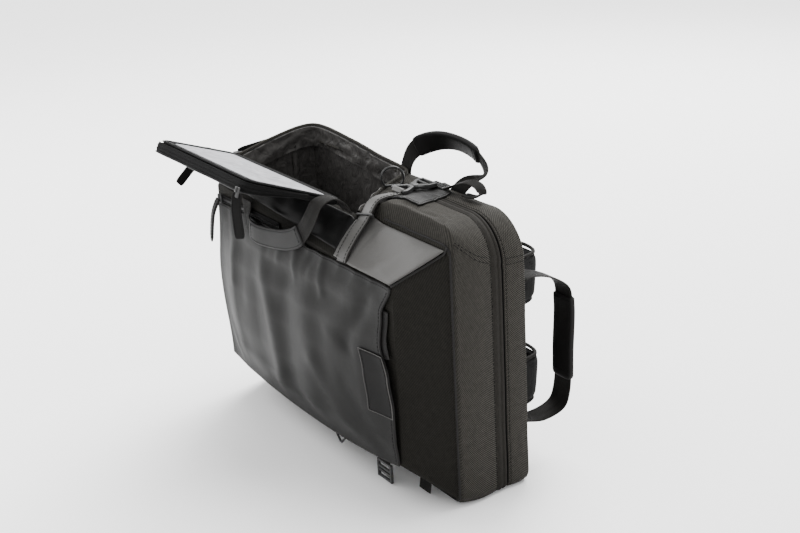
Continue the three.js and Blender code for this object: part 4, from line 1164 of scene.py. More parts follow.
def pillow(profile, count=96):
    """A closed pad in the flap's frame. profile is (inset, scale, height) rows from face to face."""
    middle = Vector(((FLAP_FAR + FLAP_NEAR) / 2, -FLAP_WIDTH / 2))
    rings = [([middle.lerp(p, scale) for p in flap_outline(inset, count)], z) for inset, scale, z in profile]
    last = len(rings) - 1

    def spot(u, v):
        ring, z = rings[round(v * last)]
        p = ring[round(u * count) % count]
        return Vector((p.x, p.y, z))

    bm = mapped(count, last, spot, uv=lambda u, v: spot(u, v).xy)
    return close_up(bm)


def in_flap_frame(bm):
    bmesh.ops.transform(bm, matrix=flap_frame(), verts=bm.verts)
    return bm


def build_flap():
    """The open hatch: padded panel, zip border with teeth, pale lining and rain lip."""
    t = FLAP_THICKNESS / 2
    panel = [
        (0.03, 0.0, -t - 0.0012), (0.03, 0.5, -t - 0.0012), (0.02, 1.0, -t - 0.0008), (0.008, 1.0, -t),
        (0.003, 1.0, -t + 0.0003), (0.0008, 1.0, -t + 0.0014), (0.0, 1.0, -t + 0.003),
        (0.0006, 1.0, -0.0002), (0.0, 1.0, t - 0.003), (0.0008, 1.0, t - 0.001), (0.003, 1.0, t - 0.0002),
        (0.012, 1.0, t), (0.03, 0.0, t),
    ]
    bm = in_flap_frame(pillow(panel))
    # The hatch panel takes the painted shade copy of the coated cloth.
    pad = add_piece("hatch_panel", bm, "dark_coated", ["hatch_flap"], subdivide=1)
    tape = [
        (0.0135, 1.0, t + 0.0003), (0.0012, 1.0, t + 0.0003), (0.0008, 1.0, t + 0.0009),
        (0.0014, 1.0, t + 0.0016), (0.0060, 1.0, t + 0.0019), (0.0072, 1.0, t + 0.0013),
        (0.0084, 1.0, t + 0.0019), (0.0130, 1.0, t + 0.0017), (0.0138, 1.0, t + 0.0010),
        (0.0135, 1.0, t + 0.0003),
    ]
    add_piece("hatch_zip_tape", in_flap_frame(pillow(tape, 160)), "zip_tape", ["flap_zip"])
    lining = [
        (0.03, 0.0, t + 0.0002), (0.0142, 1.0, t + 0.0002), (0.0136, 1.0, t + 0.0008),
        (0.0150, 1.0, t + 0.0017), (0.022, 1.0, t + 0.0021), (0.034, 1.0, t + 0.0023),
        (0.034, 0.5, t + 0.0022), (0.034, 0.0, t + 0.0022),
    ]
    bm = in_flap_frame(pillow(lining))
    add_piece("hatch_lining", bm, "pale_lining", ["flap_lining"], subdivide=1)
    ring = [Vector((p.x, p.y, t + 0.0021)) for p in flap_outline(0.0046, 300)]
    bm = bmesh.new()
    for start, stop in zip(ring, ring[1:]):
        if start.y < -0.012:
            out = (stop - start).normalized().cross(Vector((0, 0, 1)))
            teeth(bm, [start, stop], out, pitch=0.0019)
    add_piece("hatch_zip_teeth", in_flap_frame(bm), "teeth", flat=True)
    # The rain lip's coated edge takes the painted shade copy of the coated cloth.
    finishes = ["zip_tape", "dark_coated", "zip_tape", "dark_coated"]
    add_piece("hatch_rain_lip", in_flap_frame(rain_lip()), finishes, ["flap_lip"], wall=0.0014)
    line = lip_line()
    last = len(line) - 1
    coil = [lip_spot(line, k / last, 0.44) for k in range(last)]
    bm = bmesh.new()
    teeth(bm, coil, Vector((0, 0, 1)), size=(0.0030, 0.0010, 0.0018), pitch=0.0021)
    add_piece("lip_zip_teeth", in_flap_frame(bm), "teeth", flat=True)


LIP_DROP = 0.0135
COATED_FROM = 0.0125


def lip_line():
    """Points on the hatch's free edge, from its far corner round the near one to its near end."""
    edge = flap_outline(-0.0012, 400)
    first = next(k for k, p in enumerate(edge) if p.y < -FLAP_WIDTH and p.x > FLAP_FAR + 0.004)
    last = next(k for k, p in enumerate(edge) if k > first and p.x > FLAP_NEAR - 0.020 and p.y > -0.045)
    return edge[first:last]


def lip_spot(line, u, v):
    """A spot on the lip: the tape's two ridges above, the rolled edge below."""
    k = round(u * (len(line) - 1))
    way = (line[min(k + 1, len(line) - 1)] - line[max(k - 1, 0)]).normalized()
    out = Vector((way.y, -way.x))
    drop = LIP_DROP * (1 - 0.75 * clamp((u - 0.72) / 0.28) ** 1.5)
    ridges = 0.0009 * (hill(v - 0.30, 0.10) + hill(v - 0.58, 0.10)) + 0.0014 * hill(v - 1.0, 0.07)
    wave = 0.0008 * math.sin(u * 21) * v
    spot = line[k] + out * (ridges + wave + 0.0012 * v)
    return Vector((spot.x, spot.y, FLAP_THICKNESS / 2 - 0.0006 - v * drop))


def rain_lip():
    """The lip of zip tape that hangs from the hatch's free edge, with its coated edge."""
    line = lip_line()
    bm = mapped(len(line) - 1, 26, lambda u, v: lip_spot(line, u, v))
    layer = bm.loops.layers.uv.active
    for face in bm.faces:
        height = sum(loop[layer].uv.y for loop in face.loops) / 4
        if height > COATED_FROM:
            face.material_index = 1
    return bm


# Coated panels on the upper slope


def slope_sheet(x0, x1, y0, y1, columns, rows, lift, wave=0.0, seed=0.0):
    """A sheet over the upper slope. x1 may be a function of y."""

    def place(u, v):
        y = mix(y0, y1, v)
        x = mix(x0, x1(y) if callable(x1) else x1, u)
        edge = min(u, 1 - u, v, 1 - v)
        soft = wave * crinkle((x, y, 0), 0.03, seed) * clamp(edge * 8)
        height = top_at(x, y) + lift + soft - 0.0008 * hill(edge, 0.02)
        return placed(x, y - 0.6 * lift, height)

    return mapped(columns, rows, place)


def panel_end(y):
    """The near end of the upper slope's panel at depth y, where the shoulder starts to fall."""
    o = eased(y)
    return o.near - 0.45 * o.shoulder


def build_slope_panels():
    """Coated panels in front of the hinge and from the strap to the near end."""
    seam = MOUTH_NEAR_END + STRAP_WIDTH / 3
    far = -HALF + FAR_TAPER + 0.002
    panel = slope_sheet(far, seam - GAP, -TAPER + 0.004, -HINGE + 0.001, 90, 20, 0.0024, 0.0050)
    # The hinge cloth takes the painted shade copy of the coated cloth.
    piece = add_piece("hinge_cloth", panel, "dark_coated", ["hinge_panel"], wall=0.0010)
    panel = slope_sheet(seam, panel_end, -TAPER - 0.0005, -0.0032, 60, 30, 0.0024, 0.0022, 3.0)
    # The slope cloth takes the painted highlight copy of the coated cloth.
    piece = add_piece("slope_cloth", panel, "top_coated", ["slope_panel"], wall=0.0018)
    panel_end(-TAPER / 2) - seam


# The front pocket


BULGE_ALONG = (0.03, 0.62, 0.88, 0.98, 1.0, 0.95, 0.78, 0.42)
BULGE_UP = (0.25, 0.8, 1.0, 0.98, 0.8, 0.45, 0.05)
FREE_EDGE = (0.0, -0.04, -0.08, 0.1, 0.48, 0.42, 0.02)
POCKET_LENGTH = 0.41
POCKET_HEIGHT = 0.216
TAB_CORNERS = ((0.900, 0.29), (1.002, 0.61))
TAB_LIFT = 0.0022
Fold = namedtuple("Fold", "top_u top_v foot_u foot_v bow depth width")
# Ridges and valleys of the loose cloth: where each starts and ends as shares along and up the pocket,
# how far it bows towards the near end as a share, its depth as a share of the bulge, and its width.
FOLDS = (
    Fold(0.34, 0.76, 0.38, 0.02, 0.05, 0.160, 0.0175),
    Fold(0.26, 0.72, 0.28, 0.22, 0.02, -0.114, 0.0250),
    Fold(0.50, 0.74, 0.48, 0.24, 0.00, -0.114, 0.0175),
    Fold(0.62, 0.80, 0.59, 0.12, 0.01, 0.129, 0.0250),
    Fold(0.50, 1.00, 0.54, 0.82, 0.00, 0.084, 0.0075),
    Fold(0.655, 0.98, 0.70, 0.80, 0.00, 0.076, 0.0075),
    Fold(0.60, 0.99, 0.60, 0.86, 0.00, -0.053, 0.0088),
    Fold(0.92, 0.86, 0.83, 0.60, 0.01, -0.129, 0.0112),
    Fold(0.86, 0.94, 0.76, 0.62, 0.01, 0.099, 0.0175),
    Fold(0.64, 0.40, 0.88, 0.00, -0.03, 0.137, 0.0150),
    Fold(0.45, 0.20, 0.60, 0.00, 0.00, -0.099, 0.0125),
    Fold(0.79, 0.36, 0.94, 0.04, 0.00, -0.091, 0.0138),
    Fold(0.10, 0.96, 0.13, 0.56, 0.01, 0.061, 0.0100),
    Fold(0.17, 0.90, 0.19, 0.50, 0.01, -0.046, 0.0150),
    Fold(0.03, 0.22, 0.09, 0.04, 0.00, 0.068, 0.0075),
    Fold(0.36, 0.98, 0.35, 0.84, 0.00, -0.046, 0.0100),
    Fold(0.42, 0.98, 0.43, 0.86, 0.00, 0.046, 0.0075),
)


def fold_distance(fold, u, v):
    """The distance on the cloth from a spot to the bowed line of a fold."""
    way = Vector(((fold.foot_u - fold.top_u) * POCKET_LENGTH, (fold.foot_v - fold.top_v) * POCKET_HEIGHT))
    spot = Vector(((u - fold.top_u) * POCKET_LENGTH, (v - fold.top_v) * POCKET_HEIGHT))
    share = clamp(spot.dot(way) / way.length_squared)
    bow = Vector((fold.bow * POCKET_LENGTH * math.sin(math.pi * share), 0))
    return (spot - way * share - bow).length


def pocket_spot(u, v, lift=0.0):
    """A point on the pocket's cloth. u runs from far to near and v from low to high."""
    far = -HALF + FAR_TAPER + 0.002 - 0.014 * math.sin(math.pi * v) ** 2
    x = mix(far, HALF - NEAR_TAPER * (1 + along(FREE_EDGE, v)), u)
    sag = 0.013 * math.sin(math.pi * clamp(u)) ** 0.7 * (1 - v) ** 3
    z = mix(LOW_TAPER + 0.002, FRONT_TOP - 0.002, v) - sag
    out = along(BULGE_ALONG, u) * along(BULGE_UP, v)
    held = clamp(v * 9) * clamp((1 - v) * 14 + 0.25) * clamp(u * 14)
    folds = [fold.depth * hill(fold_distance(fold, u, v), fold.width) for fold in FOLDS]
    out += held * sum(folds)
    out += 0.05 * crinkle((u * 3, v * 2, 0.4), 0.5) * math.sin(math.pi * v)
    out = max(out, 0.03)
    pull = 0.0
    if v > 0.9:
        pull = 0.0012 * abs(math.sin(u * 38)) * (v - 0.9) / 0.1
    y = -TAPER - GAP - CLOTH - sizes().pocket_bulge * out - lift + pull
    return placed(x, y, z)


def build_pocket():
    """The front pocket's loose panel with its hem, tab, loop, zip and stitches."""
    panel = mapped(180, 100, pocket_spot)
    cloth = add_piece("pocket_cloth", panel, "coated", ["pocket_panel"], wall=CLOTH)
    (far, low), (near, high) = TAB_CORNERS
    tab = mapped(20, 40, lambda u, v: pocket_spot(mix(far, near, u), mix(low, high, v), TAB_LIFT))
    add_piece("blank_tab", tab, "leather", ["leather_tab"], wall=0.0015)
    corners = [(far, low), (far, high), (near, high), (near, low), (far, low)]
    rim = [pocket_spot(u, v, TAB_LIFT - 0.0003) for u, v in along_corners(corners, 24)]
    # The tab's cut edge takes the painted highlight copy of the coated cloth.
    add_piece("tab_cut_edge", tube(rim, 0.0004, 8, closed=True), "top_coated")
    u_in, v_in = 0.007, 0.008
    corners = [
        (far + u_in, low + v_in), (far + u_in, high - v_in), (near - u_in, high - v_in),
        (near - u_in, low + v_in), (far + u_in, low + v_in),
    ]
    border = [pocket_spot(u, v, TAB_LIFT + 0.0001) for u, v in along_corners(corners, 24) + corners[-1:]]
    hem = [pocket_spot(0.988, mix(0.02, 0.98, k / 80), 0.0001) for k in range(81)]
    top = [pocket_spot(mix(0.01, 0.99, k / 140), 0.985, 0.0001) for k in range(141)]
    add_stitches("pocket_stitches", [border, hem, top])
    rows = []
    for share in (0.60, 0.70, 0.79, 0.86):
        edge = pocket_spot(1.0, share)
        rows.append((edge + Vector((0.0024, CLOTH + GAP + 0.0009, 0)), Vector((1, 0, 0))))
    loop = strip(frames_along(rows, 20), TAB_WIDTH, 0.0016)
    add_piece("leather_loop", loop, "leather", ["pull_loop"])
    low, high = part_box("pocket_zip")
    middle = (low + high) / 2
    start = Vector((low.x, middle.y - 0.0004, middle.z))
    stop = Vector((high.x, start.y, start.z))
    line = [start.lerp(stop, k / 40) for k in range(41)]
    ribbon = strip(frames_along([(p, Vector((0, 0, 1))) for p in line[::10]], 40), 0.010, 0.0016)
    add_piece("pocket_zip_tape", ribbon, "zip_tape", ["pocket_zip"])
    bm = bmesh.new()
    teeth(bm, [p + Vector((0, -0.0011, 0)) for p in line], Vector((0, 0, 1)))
    add_piece("pocket_zip_teeth", bm, "teeth", flat=True)


# Straps, buckle and handles


def rows_at(anchor, size, table):
    """Rows of (point, across) from shares of a size each way from an anchor."""
    return [
        (placed(*[anchor[k] + share[k] * size[k] for k in range(3)]), Vector(across))
        for share, across in table
    ]


STRAP_X = MOUTH_NEAR_END + 0.6 * STRAP_WIDTH
BUCKLE_Y = 0.58 * BAND
BUCKLE_LENGTH = 0.046
BUCKLE_WIDTH = 0.028
BUCKLE_THICKNESS = 0.007
STRAP_LIFT = CLOTH + 2 * GAP + 0.0012


def strap_rows(raised=0.0):
    end = BUCKLE_Y - BUCKLE_LENGTH / 2 - 0.001
    stations = (
        (0.43, -1.03 * TAPER, -0.5),
        (0.4, -0.97 * TAPER, 1.0),
        (0.3, -0.7 * TAPER, 1.3),
        (0.15, -0.3 * TAPER, 1.6),
        (0.0, -0.02 * TAPER, 3.0),
        (0.0, 0.08 * BAND, 1.6),
        (0.0, end, 1.2),
    )
    rows = []
    for share, y, lift in stations:
        x = STRAP_X + share * STRAP_WIDTH
        rows.append((placed(x, y, top_at(x, y) + lift * STRAP_LIFT + raised), Vector((1, 0, 0.15))))
    return rows


def edge_lines(stations, reach, lift):
    """Two lines of points along a ribbon, reach from its middle on either side."""
    return [
        [point + across * side * reach + normal * lift for point, _, across, normal in stations]
        for side in (-1, 1)
    ]


def rounded(corners, radius, steps=5):
    """The points of a closed line through corners that are cut round."""
    points = []
    for k, here in enumerate(corners):
        before, after = corners[k - 1], corners[(k + 1) % len(corners)]
        start = here + (before - here).normalized() * radius
        stop = here + (after - here).normalized() * radius
        points += bend(start, here, stop, steps)
        way = after - stop
        points += [stop + way.normalized() * (way.length - radius) * j / steps for j in range(1, steps)]
    return points


def build_strap():
    """The compression strap over the slope with its coated face, stitches, keeper and patch."""
    stations = frames_along(strap_rows(), 90)
    base = strip(stations, STRAP_WIDTH, 0.0022)
    add_piece("strap_webbing", base, "webbing", ["side_strap"])
    face = strip(frames_along(strap_rows(0.0016), 90), STRAP_WIDTH - 0.004, 0.0016, roundness=0.6)
    # The strap's face takes the painted highlight copy of the coated cloth.
    add_piece("strap_face", face, "top_coated")
    up = -1 if stations[40][3].z < 0 else 1
    add_stitches("strap_stitches", edge_lines(stations, STRAP_WIDTH / 2 - 0.0036, 0.0025 * up))
    point, _, across, normal = stations[48]
    normal = normal * up
    spots = []
    for side, rise in ((-0.60, -0.0014), (-0.60, 0.0030), (0.60, 0.0030), (0.60, -0.0014)):
        spots.append(point + across * side * STRAP_WIDTH + normal * rise)
    keeper = tube(rounded(spots, 0.0016), 0.0013, 10, closed=True)
    add_piece("strap_keeper_loop", keeper, "metal", ["strap_keeper"])
    patch = mapped(36, 36, lambda u, v: patch_spot(u, v, 0.0026))
    cloth = add_piece("buckle_patch", patch, "coated", ["strap_patch"], wall=0.0012)
    border = [patch_spot(u, v, 0.0027) for u, v in along_corners(PATCH_SEAM, 20) + [PATCH_SEAM[-1]]]
    add_stitches("patch_stitches", [border])


# Corners of the patch as shares of the strap's width and the band's depth, and of its seam on the patch.
PATCH = ((-0.1, 0.17), (2.7, 0.20), (1.6, 0.84), (-0.4, 0.84))
PATCH_SEAM = ((0.05, 0.05), (0.95, 0.05), (0.93, 0.95), (0.07, 0.95), (0.05, 0.05))


def patch_spot(u, v, lift):
    low = [mix(PATCH[0][k], PATCH[1][k], u) for k in (0, 1)]
    high = [mix(PATCH[3][k], PATCH[2][k], u) for k in (0, 1)]
    x = STRAP_X + mix(low[0], high[0], v) * STRAP_WIDTH
    y = mix(low[1], high[1], v) * BAND
    soft = 0.0007 * crinkle((x, y, 0), 0.02)
    under = max(band_relief(y), 0.0006) + max(wrinkle_at(x, y), 0.0)
    return placed(x, y, top_at(x, y) + under + lift + soft)


def flat_bar(points, width, thickness, steps=24):
    """A moulded bar that lies flat along a line of points."""
    rows = [(Vector(p), Vector((0, 0, 1)).cross(Vector(points[-1]) - Vector(points[0]))) for p in points]
    return strip(frames_along(rows, steps), width, thickness, around=16, roundness=0.35)


def build_buckle():
    """The side-release buckle in two halves, and the metal adjuster behind it."""
    low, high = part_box("buckle_male")
    z = (low.z + high.z) / 2
    x = (low.x + high.x) / 2
    start = low.y
    w, t = BUCKLE_WIDTH, BUCKLE_THICKNESS

    def at(across, run, up=0.0):
        return Vector((x + across * w, start + run * BUCKLE_LENGTH, z + up))

    bm = bmesh.new()
    block(bm, at(0, 0.02), (w, 0.0036, t * 0.6), 0.0012)
    block(bm, at(0, 0.40), (w * 0.34, 0.0070, t * 0.66), 0.0018)
    parts = [bm]
    for side in (-1, 1):
        arm = [at(side * 0.44, 0.0), at(side * 0.43, 0.10), at(side * 0.30, 0.24), at(side * 0.14, 0.40)]
        parts.append(flat_bar(arm, 0.0046, t * 0.66))
        prong = [at(side * 0.12, 0.46), at(side * 0.30, 0.58), at(side * 0.36, 0.70), at(side * 0.44, 0.80)]
        parts.append(flat_bar(prong, 0.0040, t * 0.5))
    add_piece("buckle_prongs", merged(parts), "plastic", ["buckle_male"], subdivide=1)

    body = bmesh.new()
    block(body, at(0, 0.51, 0.0004), (w * 0.40, 0.0095, t * 0.84), 0.0022)
    block(body, at(0, 0.80), (w * 0.86, 0.0034, t * 0.6), 0.0011)
    block(body, at(0, 0.98), (w, 0.0036, t * 0.66), 0.0012)
    parts = [body]
    for side in (-1, 1):
        rail = [at(side * 0.12, 0.50), at(side * 0.20, 0.60), at(side * 0.42, 0.74), at(side * 0.46, 0.86),
                at(side * 0.45, 1.0)]
        parts.append(flat_bar(rail, 0.0046, t * 0.76))
    add_piece("buckle_socket", merged(parts), "plastic", ["buckle_female"], subdivide=1)

    low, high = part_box("strap_adjuster")
    middle, size = (low + high) / 2, high - low
    bm = bmesh.new()
    for run in (-0.5, 0.0, 0.5):
        block(bm, middle + Vector((0, run * (size.y - 0.0026), 0)), (size.x - 0.002, 0.0026, 0.0028), 0.0009)
    for side in (-0.5, 0.5):
        block(bm, middle + Vector((side * (size.x - 0.0026), 0, 0)), (0.0026, size.y, 0.0030), 0.0009)
    for k in range(-3, 4):
        for run in (-0.5, 0.0, 0.5):
            spot = middle + Vector((k * size.x / 8, run * (size.y - 0.0026), 0.0014))
            block(bm, spot, (0.0016, 0.0030, 0.0014), 0.0004)
    add_piece("adjuster_frame", bm, "metal", ["strap_adjuster"])
    rows = [
        (at(0, 0.94, -0.0004), Vector((1, 0, 0))),
        (Vector((middle.x, middle.y, middle.z - 0.0004)), Vector((1, 0, 0))),
        (Vector((middle.x + 0.002, high.y + 0.006, middle.z - 0.0012)), Vector((1, 0.1, 0))),
    ]
    web = strip(frames_along(rows, 30), WEB_WIDTH * 0.86, 0.0016)
    add_piece("buckle_webbing", web, "webbing")
    rows = [(at(0, -0.06, -0.001), Vector((1, 0, 0))), (at(0, 0.03, 0.0022), Vector((1, 0, 0))),
            (at(0, 0.10, 0.0010), Vector((1, 0, 0))), (at(0, 0.14, -0.0028), Vector((1, 0, 0)))]
    web = strip(frames_along(rows, 24), WEB_WIDTH * 0.86, 0.0016)
    # The strap's end takes the painted highlight copy of the coated cloth.
    add_piece("strap_end", web, "top_coated")


TAIL = (
    ((0.0, 0.0, 0.0), (0, 1, 0)),
    ((0.25, 0.1, 0.5), (0, 1, 0.1)),
    ((0.6, 0.3, 0.95), (0, 1, 0.2)),
    ((0.9, 0.3, 0.85), (0, 1, 0.3)),
    ((1.0, 0.2, 0.5), (0, 1, 0.3)),
    ((0.85, 0.0, 0.2), (0, 1, 0.1)),
    ((0.6, -0.1, 0.16), (0, 1, 0)),
)
REAR_HANDLE = (
    ((0.0, 0.0, -0.5), (1, 0, 0)),
    ((0.0, 0.03, 0.1), (1, 0, 0)),
    ((0.06, 0.3, 0.62), (0.8, 0.1, -0.5)),
    ((0.24, 0.75, 0.95), (0.3, 0.4, -0.85)),
    ((0.5, 1.0, 1.06), (0, 0.5, -0.85)),
    ((0.8, 1.0, 0.88), (-0.3, 0.4, -0.85)),
    ((0.97, 0.72, 0.5), (-0.8, 0.2, -0.5)),
    ((0.8, 0.2, 0.1), (-1, 0, 0)),
    ((0.66, 0.0, -0.45), (-1, 0, 0)),
)
FRONT_HANDLE = (
    ((1.0, 0.6, 0.72), (1, 0, 0)),
    ((1.01, 0.42, 0.9), (1, 0, 0)),
    ((1.02, 0.14, 1.02), (1, 0, 0)),
    ((1.01, -0.15, 0.96), (1, 0, -0.1)),
    ((0.95, -0.27, 0.68), (0.8, 0, -0.6)),
    ((0.82, -0.28, 0.36), (0.4, 0, -0.9)),
    ((0.66, -0.28, 0.18), (0, 0, -1)),
    ((0.42, -0.28, 0.05), (0, 0, -1)),
    ((0.18, -0.28, 0.0), (0, 0, -1)),
    ((0.05, -0.2, 0.08), (-0.5, 0, -0.9)),
    ((0.0, -0.09, 0.28), (-1, 0, -0.2)),
    ((0.0, -0.08, 0.42), (-1, 0, 0)),
)
TOP_HANDLE = (
    ((0.0, 0.0, 1.0), (1, 0, 0)),
    ((0.0, 0.12, 1.03), (1, 0, 0)),
    ((0.0, 0.5, 1.0), (1, 0, 0)),
    ((0.0, 0.94, 0.88), (1, 0, 0)),
    ((0.0, 1.0, 0.74), (1, 0, 0)),
    ((0.0, 0.97, 0.42), (1, 0, 0)),
    ((0.0, 0.93, 0.1), (1, 0, 0)),
    ((0.0, 0.82, 0.0), (1, 0, 0)),
    ((0.0, 0.4, -0.04), (1, 0, 0)),
    ((0.0, 0.0, 0.0), (1, 0, 0)),
)
REAR_HANDLE_SIZE = (0.140, 0.027, 0.041)
FRONT_HANDLE_SPAN = 0.184
FRONT_HANDLE_RISE = 0.076
TOP_HANDLE_REACH = 0.072
TOP_HANDLE_SPAN = 0.172
TOP_HANDLE_WIDTH = 0.030
Handle = namedtuple("Handle", "name anchor size table width grip thickness")


def handles():
    """The three handles, with the stretch of each that its grip covers."""
    behind = BAND + GAP + WEB / 2
    rear = (MOUTH_NEAR_END - MOUTH_SLANT - WEB_WIDTH / 2, behind, WIDTH)
    front = (MOUTH_NEAR_END - 0.010 - FRONT_HANDLE_SPAN, -TAPER, FRONT_TOP - 0.010)
    front_size = (FRONT_HANDLE_SPAN, TAPER, FRONT_HANDLE_RISE)
    top = (HALF - 0.022, behind, (WIDTH - TOP_HANDLE_SPAN) / 2 - 0.0055)
    top_size = (0, TOP_HANDLE_REACH, TOP_HANDLE_SPAN)
    return (
        Handle("rear_handle", rear, REAR_HANDLE_SIZE, REAR_HANDLE, WEB_WIDTH, (8 / 30, 19 / 30), 0.008),
        Handle("front_handle", front, front_size, FRONT_HANDLE, WEB_WIDTH, (17 / 38, 29 / 38), 0.0056),
        Handle("top_handle", top, top_size, TOP_HANDLE, TOP_HANDLE_WIDTH, (12 / 30, 19 / 30), 0.009),
    )


def grip_swell(share):
    """A grip's scale along it, slimmer at both ends."""
    return 1 - 0.10 * hill(min(share, 1 - share), 0.03)


def build_handles():
    """Webbing handles with wrapped, stitched grips."""
    steps = sizes().steps
    for handle in handles():
        stations = frames_along(rows_at(handle.anchor, handle.size, handle.table), steps)
        web = strip(stations, handle.width, WEB, around=16)
        add_piece(handle.name + "_webbing", web, "webbing", [handle.name])
        first, last = (round(share * steps) for share in handle.grip)
        held = stations[first : last + 1]
        wide = handle.width + 0.004
        sleeve = strip(held, wide, handle.thickness, around=28, roundness=0.55, swell=grip_swell)
        add_piece(handle.name + "_sleeve", sleeve, "leather", [handle.name + "_grip"], subdivide=1)
        reach = handle.width / 2 - 0.0012
        lines = edge_lines(held[1:-1], reach, 0.46 * handle.thickness)
        lines += edge_lines(held[1:-1], reach, -0.46 * handle.thickness)
        for point, _, across, normal in (held[2], held[-3]):
            for up in (-0.5, 0.5):
                face = point + normal * up * handle.thickness
                lines.append([face + across * mix(-reach, reach, k / 8) for k in range(9)])
        add_stitches(handle.name + "_stitches", lines)


ADJUSTER_WIDTH = 0.030
TAIL_SIZE = (0.064, 0.017, 0.017)
TAIL_WIDTH = 0.012
RING_RADIUS = 0.0132


def build_tail():
    """The webbing's spare end, and the ring beside the mouth."""
    x = STRAP_X + 0.75 * ADJUSTER_WIDTH + 3 * GAP
    y = BUCKLE_Y + BUCKLE_LENGTH / 2 + 0.006
    anchor = (x, y, top_at(x, y) + CLOTH + WEB)
    stations = frames_along(rows_at(anchor, TAIL_SIZE, TAIL), 70)
    add_piece("spare_webbing", strip(stations, TAIL_WIDTH, WEB), "webbing", ["strap_tail"])
    low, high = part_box("d_ring")
    centre = (low + high) / 2
    way = Vector((math.cos(math.pi / 3), math.sin(math.pi / 3), 0))
    points = []
    for k in range(48):
        angle = 2 * math.pi * k / 48
        flat = max(math.sin(angle), -0.72)
        points.append(centre + way * RING_RADIUS * math.cos(angle) + Vector((0, 0, RING_RADIUS * flat)))
    add_piece("loop_ring", tube(points, 0.0015, 12, closed=True), "metal", ["d_ring"])


# Zip pulls


def tab_swell(share):
    """A pull tab's scale along it, slim at the slider and round at its end."""
    return 0.78 + 0.22 * clamp(share * 7) - 0.22 * hill(1 - share, 0.04)


def pull(name, slider, turn, rows, node):
    """A slider with its bridge, and a wrapped leather tab that hangs from it."""
    bm = bmesh.new()
    block(bm, slider, (0.0078, 0.0030, 0.0120), 0.0010, turn)
    lift = turn @ Vector((0, -0.0022, 0.0030))
    block(bm, slider + lift, (0.0030, 0.0022, 0.0066), 0.0008, turn)
    add_piece(name + "_slider", bm, "metal")
    stations = frames_along(rows, 36)
    tab = strip(stations, TAB_WIDTH, TAB, around=20, roundness=0.5, swell=tab_swell)
    add_piece(name + "_tab", tab, "leather", [node], subdivide=1)
    lines = edge_lines(stations[4:-2], TAB_WIDTH / 2 - 0.0020, TAB / 2)
    lines += edge_lines(stations[4:-2], TAB_WIDTH / 2 - 0.0020, -TAB / 2)
    add_stitches(name + "_stitches", lines)


def build_pulls():
    """The four zip pulls: at the mouth, on the pocket and two on the hatch."""
    out = GAP + TAB
    x = MOUTH_FAR - 0.003 - 0.002 - GAP - TAB_WIDTH / 3
    z = top_at(-HALF, 0) + 0.3 * RIM_HEIGHT
    rows = [
        (placed(x, -MOUTH_FRONT, z), Vector((0, 0.1, 1))),
        (placed(x, 0.1 * BAND, z + 0.1 * RIM_HEIGHT), Vector((0, 0.1, 1))),
        (placed(x, 0.4 * BAND, z + 0.2 * RIM_HEIGHT), Vector((0, 0.1, 1))),
    ]
    quarter = Matrix.Rotation(math.pi / 2, 4, "X")
    pull("mouth_pull", rows[0][0], quarter, rows, "pull_mouth")
    y = -TAPER - 2 * GAP - CLOTH - TAB / 2
    x, z = -HALF + FAR_TAPER + HEM, FRONT_TOP + 0.005
    rows = [
        (placed(x, y - TAB, z), Vector((1, 0, 0))),
        (placed(x - 0.5 * TAB_WIDTH, y - 3 * TAB, z - 1.6 * TAB_WIDTH), Vector((1, -0.2, 0))),
        (placed(x - 1.2 * TAB_WIDTH, y - 4 * TAB, z - 5 * TAB_WIDTH), Vector((1, -0.3, 0))),
    ]
    pull("pocket_pull", placed(x, y, z), Matrix.Identity(4), rows, "pull_pocket")
    seat = flap_frame()
    tilt = seat.to_3x3()

    def held(spot, across):
        return seat @ Vector(spot), tilt @ Vector(across)

    edge = FLAP_FAR - GAP - TAB_WIDTH / 3
    rows = [
        held((edge, -0.36 * FLAP_WIDTH, 0), (0, 0.6, 0.8)),
        held((edge, -0.5 * FLAP_WIDTH, -1.8 * TAB_WIDTH), (0, 0.6, 0.5)),
        held((edge, -0.62 * FLAP_WIDTH, -4 * TAB_WIDTH), (0, 0.8, 0.4)),
    ]
    turn = tilt.to_4x4() @ Matrix.Rotation(math.pi / 2, 4, "Z")
    pull("hatch_far_pull", rows[0][0], turn, rows, "pull_flap_far")
    x, y = FLAP_NEAR - 2.4 * FLAP_CORNER + 0.011, -FLAP_WIDTH - 2 * CLOTH - out
    rows = [
        held((x, y, -0.010), (0.8, 0.6, 0)),
        held((x, y + TAB_WIDTH / 3, -2.4 * TAB_WIDTH), (0.7, 0.7, 0)),
        held((x, y + 1.5 * TAB_WIDTH, -5.2 * TAB_WIDTH), (0.6, 0.8, 0)),
    ]
    pull("hatch_near_pull", rows[0][0], tilt.to_4x4(), rows, "pull_flap_near")


# The wearer's side


def settle(piece, pressure, cap, pins=None):
    """Swells a padded piece with a short cloth simulation and keeps the result in its mesh."""
    scene = bpy.context.scene
    rest = [vert.co.copy() for vert in piece.data.vertices]
    cloth = piece.modifiers.new("Swell", "CLOTH")
    cloth.settings.use_pressure = True
    cloth.settings.uniform_pressure_force = pressure
    cloth.settings.effector_weights.gravity = 0
    cloth.settings.quality = 6
    for step in range(1, 21):
        scene.frame_set(step)
    shape = piece.evaluated_get(bpy.context.evaluated_depsgraph_get()).data
    swollen = [vert.co.copy() for vert in shape.vertices]
    piece.modifiers.remove(cloth)
    scene.frame_set(1)
    for vert, before, after in zip(piece.data.vertices, rest, swollen):
        step = after - before
        vert.co = before + (step.normalized() * min(step.length, cap) if step.length > 0 else step)


